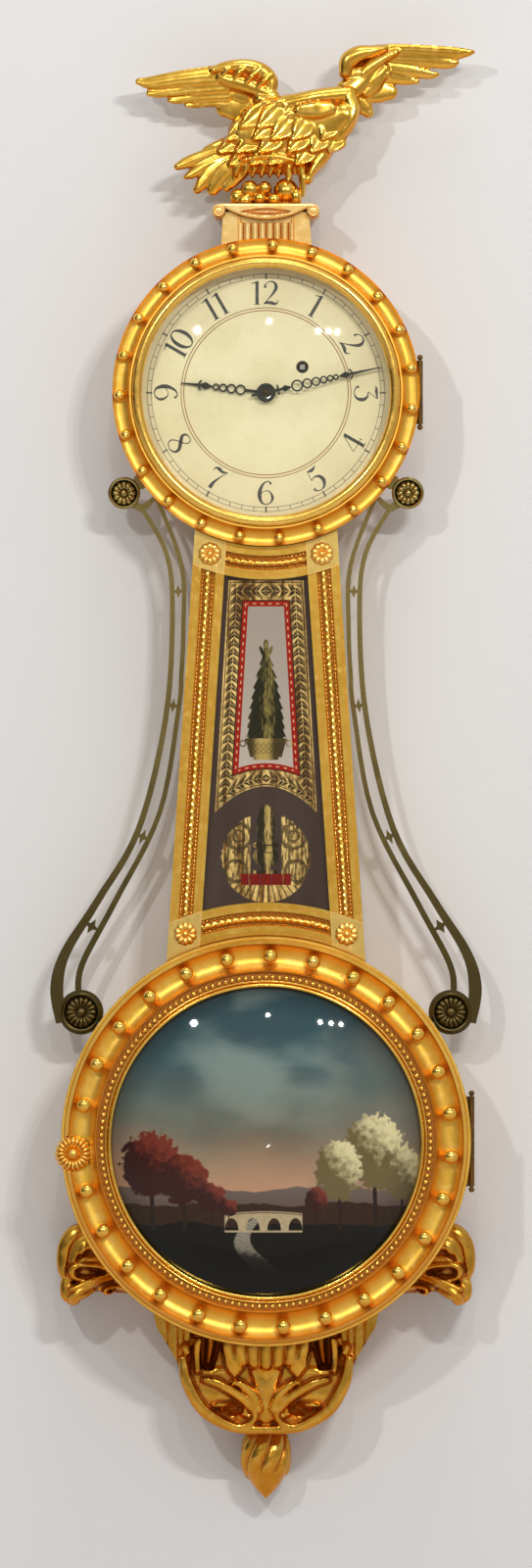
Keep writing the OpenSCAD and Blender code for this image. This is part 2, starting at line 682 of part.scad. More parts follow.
// Door of the lower box: sloping rim, cove for the balls, shoulder, and a seat for the beaded ring
door_bore = tablet_r + 3.6;
door_seat = door_d + 9;
door_floor = door_d + 5.5;
module lower_door() color(case_gold) at_lower() difference() {
  rotate_extrude() difference() {
    polygon([[door_bore, door_d], [door_r, door_d], [door_r, door_d + 7], [door_r - 0.8, door_d + 8],
      [door_r - 2, door_d + 8], [door_r - 6, door_d + door_h], [door_r - 7.2, door_d + door_h],
      [tablet_r + 14.6, door_d + door_h - 1], [tablet_r + 14, door_d + door_h],
      [tablet_r + 12.9, door_d + door_h], [tablet_r + 12.9, door_seat], [door_bore, door_seat]]);
    translate([door_ball_at - 1, door_floor + 11.5]) circle(11.5);
  }
  at_door_hinge() door_hinge_room(door_hinge_half);
  place(latch_at) arbor(shaft_r + run_fit, 0, 200);
  place(latch_at) arbor(latch_r + 0.5, latch_d, 200);
}
door_ball_first = 1.3;
latch_place = 20;
module door_balls() color(bright_gold) at_lower() for (k = [0:door_ball_n - 1])
  if (k != latch_place) translate(concat(along(door_ball_at, door_ball_first + 360 * k / door_ball_n),
    [door_floor + door_ball_r + fit])) sphere(door_ball_r);
// Ring with the fine beading, which also holds the glass
module door_beading() color(bright_gold) at_lower() rotate_extrude() difference() {
  union() {
    translate([tablet_r, door_seat + fit]) square([12.6, 5]);
    translate([tablet_r + 8, door_seat + 5 + fit]) circle(2.6);
    translate([tablet_r + 1.6, door_seat + 5 + fit]) circle(1.6);
  }
  translate([tablet_r + 3.6, door_seat + 4.2]) square([1.6, 3]);
}
tablet_glass_r = door_bore - 0.4;
module tablet_glass() color([0.35, 0.40, 0.42]) at_lower()
  glass_dome(tablet_glass_r, tablet_dome, door_seat - 1.7);

// Latch
latch_r = 15;
latch_d = door_floor + 2.5;
module latch_rosette() color(bright_gold) at_lower() place(latch_at) translate([0, 0, latch_d + 0.3]) {
  cylinder(r = latch_r, h = 3);
  translate([0, 0, 2.5]) flower(13, 16, 2.5);
}
module latch_tongue() color("darkgoldenrod") at_lower() place(latch_at) {
  arbor(shaft_r, tongue_d, latch_d + 0.2);
  slab(tongue_d, tongue_d + tongue_t) bar([0, 0], [0, tongue_len - tongue_w / 2], tongue_w);
}

// Side arms, drawn on the right: two curved bars joined by diamonds, a disc at each end
outer_bar = [concat(off_head(17.5, -41.6), 3.6), concat(off_head(33.8, -58.2), 3.8),
  [75.3, -178, 4], [80.8, -261, 4.4], [102.4, -350, 5],
  [136.2, -409, 6], concat(off_lower(59.6, 43), 8), concat(off_lower(47, 35.9), 10.5),
  concat(off_lower(28.5, 29.7), 9)];
function beside_throat(u, gap, w) = [throat_half(u) + gap, u, w];
inner_bar = [concat(off_head(3.7, -43.7), 3.4), beside_throat(-138, 9.1, 3.6), beside_throat(-190, 4.2, 3.6),
  beside_throat(-225, 3.4, 3.7), beside_throat(-254, 3.9, 3.8), [85.6, -337, 4],
  [121.7, -409, 4.6], concat(off_lower(43.4, 43.6), 5), concat(off_lower(29.4, 37.5), 5)];
top_bridge = [concat(top_rosette, 8), concat(off_head(18.6, -42.3), 6), concat(off_head(5.1, -43), 3.6)];
// Diamonds with hollow sides join the bars: height, half size along the bars
links = [[-159, 5.4], [-251, 6], [-356.5, 6.4], [-428.5, 6.6]];
link_lap = 0.6;
function bar_x(points, u) = lookup(u, [for (q = curve(points, 6)) [q[1], q[0]]]);
function link_x(u) = (bar_x(outer_bar, u) + bar_x(inner_bar, u)) / 2;
function link_turn(u) = bearing([link_x(u - 4), u - 4], [link_x(u + 4), u + 4]);
function link_across(u) =
  (bar_x(outer_bar, u) - bar_x(inner_bar, u)) / 2 * sin(link_turn(u)) + link_lap;
module hollow_diamond(a, b) {
  c = 0.28;
  polygon([[a, 0], [a * c, b * c], [0, b], [-a * c, b * c],
    [-a, 0], [-a * c, -b * c], [0, -b], [a * c, -b * c]]);
}
module arm_outline() {
  band(outer_bar, 6);
  band(inner_bar, 6);
  band(top_bridge, 3);
  for (q = links) translate([link_x(q[0]), q[0]]) rotate(link_turn(q[0]))
    hollow_diamond(q[1], link_across(q[0]));
  place(top_rosette) circle(13);
  place(low_rosette) circle(18);
}
module side_arm() {
  slab(arm_d, arm_d + arm_t) {
    arm_outline();
    // Lugs run from the discs to the feet on the cases
    bar(top_rosette, polar(head_r + 6, bearing([0, 0], top_rosette)), 10);
    translate([0, -centre_gap]) bar(low_rel, polar(lower_r + 6, bearing([0, 0], low_rel)), 10);
  }
  at_top_foot() arm_foot();
  at_low_foot() arm_foot();
}
module arm_foot() difference() {
  union() {
    box_at(fit, -foot_w / 2, 0, foot_t + fit, foot_w / 2, foot_len);
    box_at(fit, -foot_w / 2, 0, 8, foot_w / 2, arm_t);
  }
  arm_foot_screw() screw_hole(1.4, 7);
}
module right_side_arm() color(arm_brass) at_head() side_arm();
module left_side_arm() color(arm_brass) at_head() mirror([1, 0, 0]) side_arm();
module arm_rosettes() color([0.55, 0.47, 0.28]) at_head() for (s = [0, 1]) mirror([s, 0, 0]) {
  place(top_rosette) translate([0, 0, arm_d + arm_t + fit]) rosette(13);
  place(low_rosette) translate([0, 0, arm_d + arm_t + fit]) rosette(16);
}
module rosette(r) {
  difference() {
    cylinder(r = r, h = 4);
    translate([0, 0, 2.5]) cylinder(r = r - 2.4, h = 4);
  }
  translate([0, 0, 2]) flower(r - 3, 12, 2);
}

// The carvings round the lower box are drawn for a case of this radius, and grow with the real one
drawn_r = 161;
grown = lower_r / drawn_r;
// Acanthus leaves on the sides of the lower box, in two layers
leaf_edge = [[137, -60], [149.5, -73], [159, -81.6], [164.5, -91], [166, -110.7], [162, -112.5],
  [163.7, -124], [159.7, -130.3], [151.9, -133.5], [140, -126.4], [130, -121], [120.5, -122.5],
  [111, -121], [100, -110]] * grown;
leaf_front = 62;
module leaf() {
  slab(18, leaf_front - 12) difference() {
    polygon(leaf_edge);
    circle(lower_r + fit);
  }
  slab(leaf_front - 13, leaf_front) difference() {
    polygon([for (p = leaf_edge) p * 0.985 + [0.5, -2]]);
    circle(lower_r + fit);
  }
}
module right_leaf() color(bright_gold) at_lower() leaf();
module left_leaf() color(bright_gold) at_lower() mirror([1, 0, 0]) leaf();

// Base bracket: a tapering carving under the lower box, cut away at the top on both sides
bracket_edge = [[-1, -120], [91.5, -120], [91.5, -134], [88, -150], [80, -163], [72, -177], [66, -192],
  [59, -207], [51, -219], [40.5, -228], [28, -234], [18, -236.5], [-1, -236.5]] * grown;
module bracket_outline() for (s = [0, 1]) mirror([s, 0]) difference() {
  polygon(bracket_edge);
  circle(lower_r + fit);
}
// Side view of the bracket: height, depth
module bracket_side() scale([grown, 1]) polygon([[-100, 0], [-100, bracket_d], [-150, bracket_d],
  [-180, bracket_d - 4], [-205, bracket_d - 12], [-225, bracket_d - 22], [-240, bracket_d - 30],
  [-240, 6], [-200, 0]]);
// Outline of the side view carried across the whole width
module across_bracket() rotate([0, -90, 0]) translate([0, 0, -150]) linear_extrude(300)
  rotate(-90) mirror([1, 0]) children();
// Lobes of the capital, and the dark hollow on each side of it
lobe_step = 10 * grown;
lobe_r = 5.6 * grown;
lobe_low = -172 * grown;
lobe_high = -142 * grown;
hollow = [[39, -186], [63, -186], [67, -120], [39, -120]] * grown;
hollow_depth = 34;
module base_bracket() color(bright_gold) at_lower() difference() {
  union() {
    intersection() {
      slab(0, bracket_d) bracket_outline();
      across_bracket() bracket_side();
    }
    for (k = [-3:3]) translate([k * lobe_step, lobe_low, bracket_d - 6]) rotate([-90, 0, 0])
      cylinder(r = lobe_r, h = lobe_high - lobe_low);
  }
  slab(-1, bracket_d + 20) circle(lower_r + fit);
  for (s = [0, 1]) mirror([s, 0, 0]) slab(bracket_d - hollow_depth, bracket_d + 5) polygon(hollow);
}

// Pendant bud: overlapping petals round a pointed core
bud_top = -236.5 * grown - 2 * fit;
bud_u = bud_top - 18.3;
bud_tip = bud_top - 53.3;
bud_d = 24;
bud_edge = [[15, bud_top], [bud_r - 1.5, bud_u + 9], [bud_r, bud_u], [bud_r - 3, bud_u - 14],
  [9, bud_tip + 11]];
module pendant_bud() color(bright_gold) at_lower() translate([0, 0, bud_d]) rotate([-90, 0, 0])
  rotate_extrude() polygon(concat([[0, bud_top]], curve(bud_edge, 5), [[0, bud_tip]]));

// Layers of the movement, back to front, as depths from the wall
D_CENTRE_PINION = [18, 24.5];
D_GREAT = [20, 22.5];
D_CLICK = [22.7, 24.7];
D_RATCHET = [23, 25];
D_DRUM = [24.9, 44];
D_THIRD_PINION = [26.5, 31.5];
D_CENTRE = [28, 30];
D_ESCAPE_PINION = [35, 39.5];
D_THIRD = [36, 38];
D_ANCHOR = [41, 44.5];
D_ESCAPE = [42, 43.5];
D_CANNON = [51.4, 54.5];
D_MOTION = [52, 53.5];
D_CRUTCH = [52, 54];
D_MOTION_PINION = [53.4, 57.5];
D_HOUR = [55, 56.5];
D_SQUARE = [52.4, 64.5];
plates_front = front_plate_d + plate_t;
// Least gap between flat faces that lie against each other
seat = 0.02;
stud_r = 1.5;
motion_stud_r = 1.2;
barrel_pivot_r = 2;
anchor_arbor_r = 1.5;

module movement_plates() color("goldenrod") at_head() {
  difference() {
    slab(back_plate_d, back_plate_d + plate_t) plate_outline();
    place(P_BARREL) bore(barrel_pivot_r + run_fit);
    for (p = [P_CENTRE, P_THIRD, P_ESCAPE, P_ANCHOR]) place(p) bore(pivot_r + run_fit);
    at_pillars() bore(stud_r + fit);
    place(P_HOOK) bore(stud_r + fit);
  }
  difference() {
    slab(front_plate_d, plates_front) plate_outline();
    place(P_BARREL) bore(barrel_arbor_r + run_fit);
    place(P_CENTRE) bore(centre_arbor_r + run_fit);
    for (p = [P_THIRD, P_ESCAPE]) place(p) bore(pivot_r + run_fit);
    place(P_ANCHOR) bore(anchor_arbor_r + run_fit);
    place(P_MOTION) bore(motion_stud_r + fit);
    at_pillars() bore(stud_r + fit);
    place(P_HOOK) bore(stud_r + fit);
    at_bridge_screws() screw_hole(1.2, 4);
  }
}
module plate_outline() translate([plate_box[0], plate_box[1]])
  square([plate_box[2] - plate_box[0], plate_box[3] - plate_box[1]]);
module plate_pillars() color("goldenrod") at_head() {
  for (p = PILLARS) place(p) {
    arbor(3, back_plate_d + plate_t + seat, front_plate_d - seat);
    arbor(stud_r, back_t + 2, plates_front + 0.5);
  }
  place(P_HOOK) {
    arbor(2, back_plate_d + plate_t + seat, front_plate_d - seat);
    arbor(stud_r, back_plate_d + 0.2, plates_front);
  }
  // Fixed stud that the motion wheel turns on
  place(P_MOTION) {
    arbor(motion_stud_r, front_plate_d + 0.2, D_MOTION_PINION[1] + 0.9);
    arbor(2, plates_front + seat, plates_front + 1);
  }
}
module at_bridge_screws() for (s = [-1, 1]) translate([s * 9, 58, plates_front + 2]) children();

great_m = module_of(P_CENTRE, P_BARREL, T_CENTRE_PINION, T_GREAT);
centre_m = module_of(P_CENTRE, P_THIRD, T_CENTRE, T_THIRD_PINION);
third_m = module_of(P_THIRD, P_ESCAPE, T_THIRD, T_ESCAPE_PINION);
motion_m = module_of(P_CENTRE, P_MOTION, T_CANNON, T_MOTION);
hour_m = module_of(P_CENTRE, P_MOTION, T_MOTION_PINION, T_HOUR);
ratchet_n = 24;
ratchet_r = 10;
ratchet_depth = 1.6;
barrel_arbor_r = 3;
drum_r = cord_at_r - cord_w / 2;
square_w = 4;
flange_r = 9.4;
module barrel() color("goldenrod") at_head() place(P_BARREL) {
  layer(D_RATCHET) rotate(nose_angle - 3.3) polygon([for (k = [0:ratchet_n - 1]) for (j = [0, 1])
    polar(ratchet_r - ratchet_depth * (1 - j), 360 * (k + 0.05 + 0.9 * j) / ratchet_n)]);
  layer(D_DRUM) circle(drum_r);
  slab(D_DRUM[1] - 0.1, D_DRUM[1] + 1) circle(flange_r);
  arbor(barrel_arbor_r, D_GREAT[0] - 2, D_SQUARE[0] + 0.1);
  arbor(barrel_pivot_r, back_plate_d + 0.2, D_GREAT[0] - 1.9);
  layer(D_SQUARE) square(square_w, center = true);
}
module great_wheel() color("goldenrod") at_head() place(P_BARREL) {
  layer(D_GREAT) difference() {
    gear2d(T_GREAT, great_m, meshed(0, P_CENTRE, P_BARREL, T_CENTRE_PINION, T_GREAT));
    circle(barrel_arbor_r + run_fit);
    crossings(28.5, 19, 5, 4);
  }
  place(click_at) arbor(click_pin_r, D_GREAT[1] - 0.1, D_CLICK[1] + 0.3);
}
// Click: a pawl on the great wheel, drawn lifted just clear of the ratchet
click_far = 15.6;
click_bearing = 205;
click_at = polar(click_far, click_bearing);
click_r = 2.2;
click_pin_r = 1.2;
nose = [10.3, -1.6];
// Angle between sides a and b of a triangle whose third side is c
function corner(a, b, c) = acos((a * a + b * b - c * c) / (2 * a * b));
click_rest = click_bearing - 180 - bearing([0, 0], nose) + corner(click_far, norm(nose), ratchet_r + 0.35);
// Where the nose stands, seen from the barrel, once it has dropped in
nose_angle = click_bearing - corner(click_far, ratchet_r - 1, norm(nose));
module click() color("steelblue") at_head() place(P_BARREL + click_at) difference() {
  union() {
    layer(D_CLICK) circle(click_r);
    layer(D_CLICK) rotate(click_rest) polygon([[0, 2], [8, 1.6], nose, [8.6, -1], [0, -2]]);
  }
  bore(click_pin_r + run_fit);
}

centre_arbor_r = 1.5;
module centre_wheel() color("goldenrod") at_head() {
  layer(D_CENTRE) difference() {
    gear2d(T_CENTRE, centre_m, 0);
    crossings(16, 4.5, 4, 2.6);
  }
  layer(D_CENTRE_PINION) gear2d(T_CENTRE_PINION, great_m, 0, false);
  arbor(pivot_r, back_plate_d, D_CENTRE_PINION[0] + 0.1);
  arbor(centre_arbor_r, D_CENTRE_PINION[0] - 1, minute_d + hand_t + 1.9);
}
third_phase = meshed(0, P_CENTRE, P_THIRD, T_CENTRE, T_THIRD_PINION);
module third_wheel() color("goldenrod") at_head() place(P_THIRD) {
  layer(D_THIRD) difference() {
    gear2d(T_THIRD, third_m, 0);
    crossings(16, 4, 4, 2.4);
  }
  layer(D_THIRD_PINION) gear2d(T_THIRD_PINION, centre_m, third_phase, false);
  pivoted_arbor(1.4);
}
escape_phase = meshed(0, P_THIRD, P_ESCAPE, T_THIRD, T_ESCAPE_PINION);
escape_r = 14.5;
// One tooth of the escape wheel: radius, angle
escape_tooth = [[escape_r - 2.6, 0], [escape_r, 4.6], [escape_r, 5.4], [escape_r - 2.6, 7.5]];
module escape_wheel() color("goldenrod") at_head() place(P_ESCAPE) {
  layer(D_ESCAPE) difference() {
    polygon([for (k = [0:T_ESCAPE - 1]) for (q = escape_tooth) polar(q[0], 360 * k / T_ESCAPE + q[1])]);
    crossings(10.4, 3.4, 4, 2);
  }
  layer(D_ESCAPE_PINION) gear2d(T_ESCAPE_PINION, third_m, escape_phase, false);
  pivoted_arbor(1.2);
}
// Anchor over the escape wheel, and the crutch in front of the plate that drives the pendulum
crutch_len = 30;
crutch_pin_r = 1;
module anchor() color("steelblue") at_head() place(P_ANCHOR) {
  layer(D_ANCHOR) rotate(bearing(P_ANCHOR, P_ESCAPE) + 90) {
    circle(3.4);
    for (s = [-1, 1]) {
      bar([0, 0], [s * 12, -3.6], 3);
      polygon([[s * 13.5, -3.6], [s * 13.4, -7.4], [s * 11.8, -6.4], [s * 11, -3.6]]);
    }
  }
  arbor(pivot_r, back_plate_d, D_CENTRE_PINION[0] + 0.1);
  arbor(anchor_arbor_r, D_CENTRE_PINION[0], D_CRUTCH[1]);
  layer(D_CRUTCH) bar([0, 0], [0, -crutch_len], 3);
  slab(D_CRUTCH[0] - 0.5, D_CRUTCH[1] + 0.4) circle(2.4);
  translate([0, -crutch_len, 0]) arbor(crutch_pin_r, D_CRUTCH[1] - 0.1, rod_d + rod_t + 0.4);
}
bridge_d = 63;
bridge_top = 61.4;
module suspension_bridge() color("goldenrod") at_head() difference() {
  union() {
    box_at(-12, 54.6, plates_front + seat, 12, bridge_top, plates_front + 2);
    box_at(-4, 55.5, plates_front + 1, 4, bridge_top, bridge_d);
  }
  place(P_ANCHOR) bore(3.2);
  box_at(-0.8, 54, rod_d - 2, 0.8, bridge_top - 1.9, bridge_d + 1);
  at_bridge_screws() screw_hole(1.2, 4);
}

// Pendulum: a thin spring strip, a flat rod with a ring round the hour pipe, and the bob
rod_w = 6;
ring_in = 10;
ring_out = ring_in + 2.5;
strip_w = 0.5;
bob_u = P_ANCHOR[1] - pendulum_len;
bob_t = 12;
rod_end = bob_u - bob_r - 14;
module pendulum_rod() color("peru") at_head() {
  slab(rod_d - 1, rod_d + rod_t + 1) translate([-strip_w / 2, 44]) square([strip_w, 14]);
  difference() {
    slab(rod_d, rod_d + rod_t) {
      translate([-rod_w / 2, ring_in]) square([rod_w, 36]);
      circle(ring_out);
      translate([-rod_w / 2, rod_end]) square([rod_w, -rod_end - ring_in - 1]);
    }
    bore(ring_in);
    translate([0, P_ANCHOR[1] - crutch_len, 0]) slab(0, 100) bar([0, -1], [0, 1], 2 * crutch_pin_r + 0.3);
  }
}
bob_sphere_r = dome_radius(bob_r, bob_t / 2);
nut_r = 6;
nut_t = 4;
nut_gap = 1.5;
module pendulum_bob() color("gold") at_head() translate([0, bob_u, rod_d + rod_t / 2]) difference() {
  union() {
    intersection_for(s = [-1, 1])
      translate([0, 0, s * (bob_sphere_r - bob_t / 2)]) sphere(bob_sphere_r, $fn = 200);
    // Rating nut under the bob
    translate([0, -bob_r - nut_gap - nut_t, 0]) rotate([-90, 0, 0]) cylinder(r = nut_r, h = nut_t);
  }
  box_at(-rod_w / 2 - fit, -bob_r - nut_gap - nut_t - 1, -rod_t / 2 - fit,
    rod_w / 2 + fit, bob_r + 1, rod_t / 2 + fit);
}

// Motion work and hands
cannon_r = 2.6;
hour_pipe_r = 4;
module cannon_pinion() color("goldenrod") at_head() difference() {
  union() {
    layer(D_CANNON) gear2d(T_CANNON, motion_m, 0, false);
    arbor(cannon_r, D_CANNON[1] - 0.5, minute_d + hand_t);
  }
  bore(centre_arbor_r + run_fit);
}
motion_phase = meshed(0, P_CENTRE, P_MOTION, T_CANNON, T_MOTION);
module motion_wheel() color("goldenrod") at_head() place(P_MOTION) difference() {
  union() {
    layer(D_MOTION) gear2d(T_MOTION, motion_m, motion_phase);
    layer(D_MOTION_PINION) gear2d(T_MOTION_PINION, hour_m, 0, false);
  }
  bore(motion_stud_r + run_fit);
}
hour_phase = meshed(0, P_MOTION, P_CENTRE, T_MOTION_PINION, T_HOUR);
module hour_wheel() color("goldenrod") at_head() difference() {
  union() {
    layer(D_HOUR) gear2d(T_HOUR, hour_m, hour_phase);
    arbor(hour_pipe_r, D_HOUR[1] - 0.5, hour_d + hand_t);
  }
  bore(cannon_r + run_fit + fit);
}
hour_d = 70;
minute_d = 73.5;
hand_t = 1;
// Row of pierced rings along a hand, each lapping the one before
ring_line = 1.3;
ring_lap = 0.6;
minute_rings = [4.8, 4.1, 3.7, 3.2, 2.8, 2.4];
minute_first = 25.6;
hour_rings = [4.2, 3.9, 3.4, 2.9];
hour_first = 20.5;
function ring_u(first, radii, k) =
  k == 0 ? first : ring_u(first, radii, k - 1) + radii[k - 1] + radii[k] - ring_lap;
function rings_end(first, radii) =
  let (last = len(radii) - 1) ring_u(first, radii, last) + radii[last];
module ring_row(first, radii)
  for (k = [0:len(radii) - 1]) translate([0, ring_u(first, radii, k)]) ring(radii[k], radii[k] - ring_line);
// Curled cross-piece, diamond and pointer at the outer end of a hand
module hand_end(from, half, length) {
  polygon([[0, from - 0.8], [half, from + 5.5], [0, from + 12], [-half, from + 5.5]]);
  for (s = [-1, 1]) bar([s * 3.6, from + 9.6], [0, from + 11.6], 1.4);
  polygon([[-1.2, from + 10], [1.2, from + 10], [0.4, length], [-0.4, length]]);
}
module minute_hand() color(hand_steel) at_head() rotate(-minute_at) slab(minute_d, minute_d + hand_t)
  difference() {
    union() {
      circle(7.3);
      bar([0, -11], [0, 12], 2.2);
      bar([-3.4, 10], [3.4, 10], 1.6);
      polygon([[0, 11], [2.6, 15.8], [0, 21.4], [-2.6, 15.8]]);
      ring_row(minute_first, minute_rings);
      hand_end(rings_end(minute_first, minute_rings), 2.6, minute_len);
    }
    circle(cannon_r + fit);
  }
module hour_hand() color(hand_steel) at_head() rotate(-hour_at) slab(hour_d, hour_d + hand_t)
  difference() {
    union() {
      circle(7.6);
      bar([0, 6], [0, 16.6], 2.4);
      ring_row(hour_first, hour_rings);
      hand_end(rings_end(hour_first, hour_rings), 3, hour_len);
    }
    circle(hour_pipe_r + fit);
  }
module hand_nut() color("goldenrod") at_head() difference() {
  union() {
    arbor(2.9, minute_d + hand_t + fit, 76.6);
    translate([0, 0, 76.5]) sphere(2.2);
  }
  arbor(centre_arbor_r + 0.05, 0, 76.5);
}

// Weight with its pulley, and the cord that carries it
cheek_t = 1.2;
cheek_d = 3.6;
pin_r = 1.5;
module at_pulley() translate([cord_x, pulley_u, cord_d]) children();
module weight() color("dimgray") at_head() {
  box_at(cord_x - weight_w / 2, weight_top - weight_h, cord_d - weight_t / 2,
    cord_x + weight_w / 2, weight_top, cord_d + weight_t / 2);
  at_pulley() {
    for (s = [-1, 1]) slab(s * cheek_d - cheek_t / 2, s * cheek_d + cheek_t / 2)
      bar([0, 0], [0, weight_top - pulley_u - 1], 7);
    arbor(pin_r, -cheek_d - 1.9, cheek_d + 1.9);
  }
}
module weight_pulley() color("goldenrod") at_head() at_pulley() rotate_extrude() difference() {
  translate([pin_r + run_fit, -2.4]) square([pulley_r + 0.6 - pin_r - run_fit, 4.8]);
  translate([pulley_r + 0.2, 0]) circle(cord_w / 2 + 0.4);
}
// Straight stretch of cord up from the pulley
module cord_fall(x, length) translate([x, 0, 0]) rotate([-90, 0, 0])
  cylinder(r = cord_w / 2, h = length, $fn = 16);
module weight_cord() color("tan") at_head() at_pulley() {
  cord_fall(pulley_r, P_BARREL[1] - pulley_u);
  cord_fall(-pulley_r, P_HOOK[1] - 2.6 - pulley_u);
  rotate(180) rotate_extrude(angle = 180) translate([pulley_r, 0]) circle(cord_w / 2, $fn = 16);
}

// All the screws that hold fixed pieces
module screws() color("darkgoldenrod") {
  at_head() {
    at_dial_screws() screw(1.2, 5, 2.4);
    for (s = [0, 1]) mirror([s, 0, 0]) {
      at_top_foot() arm_foot_screw() screw(1.4, 6, 2.8);
      at_low_foot() arm_foot_screw() screw(1.4, 6, 2.8);
    }
    at_bridge_screws() screw(1.2, 4, 2.2);
  }
  at_lower() at_strike_screws() translate([0, 0, -screw_head_t]) screw(1, 4, 0.9);
}

head_case();
plinth();
plinth_cap();
eagle_body();
eagle_left_wing();
eagle_right_wing();
eagle_perch();
dial();
hanger_plate();
case_hinge_leaves();
bezel_hinge_leaf();
door_hinge_leaf();
hinge_pins();
head_bezel();
bezel_balls();
sight_ring();
head_glass();
throat_case();
throat_frame();
throat_rope();
throat_rosettes();
throat_glass();
weight_baffle();
lower_case();
lower_door();
door_balls();
door_beading();
tablet_glass();
strike_plate();
latch_rosette();
latch_tongue();
left_side_arm();
right_side_arm();
arm_rosettes();
left_leaf();
right_leaf();
base_bracket();
pendant_bud();
movement_plates();
plate_pillars();
screws();
barrel();
great_wheel();
click();
centre_wheel();
third_wheel();
escape_wheel();
anchor();
suspension_bridge();
pendulum_rod();
pendulum_bob();
cannon_pinion();
motion_wheel();
hour_wheel();
minute_hand();
hour_hand();
weight();
weight_pulley();
weight_cord();
hand_nut();
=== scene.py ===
import math

import bmesh
import bpy
import numpy as np
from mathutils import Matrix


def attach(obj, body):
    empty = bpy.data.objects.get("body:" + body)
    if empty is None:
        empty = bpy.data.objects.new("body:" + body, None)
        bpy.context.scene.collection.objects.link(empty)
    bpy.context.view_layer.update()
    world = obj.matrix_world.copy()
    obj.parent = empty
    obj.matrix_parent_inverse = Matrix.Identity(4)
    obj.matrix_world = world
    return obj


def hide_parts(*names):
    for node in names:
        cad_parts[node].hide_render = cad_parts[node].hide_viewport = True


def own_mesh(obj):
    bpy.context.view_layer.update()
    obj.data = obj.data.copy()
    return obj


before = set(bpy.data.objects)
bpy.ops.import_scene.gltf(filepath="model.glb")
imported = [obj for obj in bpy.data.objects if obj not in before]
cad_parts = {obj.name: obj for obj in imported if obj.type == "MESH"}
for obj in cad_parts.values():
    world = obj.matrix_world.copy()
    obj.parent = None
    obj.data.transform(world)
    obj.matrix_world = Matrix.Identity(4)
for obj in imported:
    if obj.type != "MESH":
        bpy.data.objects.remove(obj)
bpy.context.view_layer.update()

# Places in front view: across, up from the hanger hole, and depth out from the wall, all in mm
HEAD_U = -62.0
LOWER_U = -662.0
# Winding hole, from the centre of the head
WINDING_X = 29.2
WINDING_V = 20.7
# Throat case: half its width under the head, how much that grows, and over what height
HEAD_R = 118.0
THROAT_TOP = 57.6
THROAT_GROWS = 21.1
THROAT_HIGH = 321.0


# Paint: one material and the short ways to mix it
class Amount:
    """A number that varies over a surface. Python's operators add its Math nodes."""

    def __init__(self, paint, socket):
        self.paint, self.socket = paint, socket

    def __add__(self, other):
        return self.paint.sum("ADD", self, other)

    def __sub__(self, other):
        return self.paint.sum("SUBTRACT", self, other)

    def __rsub__(self, other):
        return self.paint.sum("SUBTRACT", other, self)

    def __mul__(self, other):
        return self.paint.sum("MULTIPLY", self, other)

    def __truediv__(self, other):
        return self.paint.sum("DIVIDE", self, other)

    def __rtruediv__(self, other):
        return self.paint.sum("DIVIDE", other, self)

    def __mod__(self, other):
        return self.paint.sum("FLOORED_MODULO", self, other)

    def __neg__(self):
        return self.paint.sum("MULTIPLY", self, -1)

    def __abs__(self):
        return self.paint.sum("ABSOLUTE", self)

    __radd__ = __add__
    __rmul__ = __mul__

    def root(self):
        return self.paint.sum("SQRT", self)

    def sine(self):
        return self.paint.sum("SINE", self)

    def most(self, other):
        return self.paint.sum("MAXIMUM", self, other)

    def least(self, other):
        return self.paint.sum("MINIMUM", self, other)

    def angle(self, other):
        """Bearing in radians of the point (other, self)."""
        return self.paint.sum("ARCTAN2", self, other)

    def over(self, edge, soft=0.1):
        """0 below the edge, 1 above it, with a soft step between."""
        step = self.paint.node("MapRange", {"interpolation_type": "SMOOTHSTEP"},
                               {0: self, 1: edge - soft, 2: edge + soft, 3: 0.0, 4: 1.0})
        return Amount(self.paint, step.outputs[0])

    def under(self, edge, soft=0.1):
        return 1 - self.over(edge, soft)

    def within(self, low, high, soft=0.1):
        return self.over(low, soft) * self.under(high, soft)

    def near(self, middle, half, soft=0.1):
        return abs(self - middle).under(half, soft)


def rgb(red, green, blue):
    """Colour as it looks on screen, from 0 to 255, in the renderer's own linear values."""
    def linear(part):
        part /= 255
        return part / 12.92 if part <= 0.04045 else ((part + 0.055) / 1.055) ** 2.4
    return (linear(red), linear(green), linear(blue), 1.0)


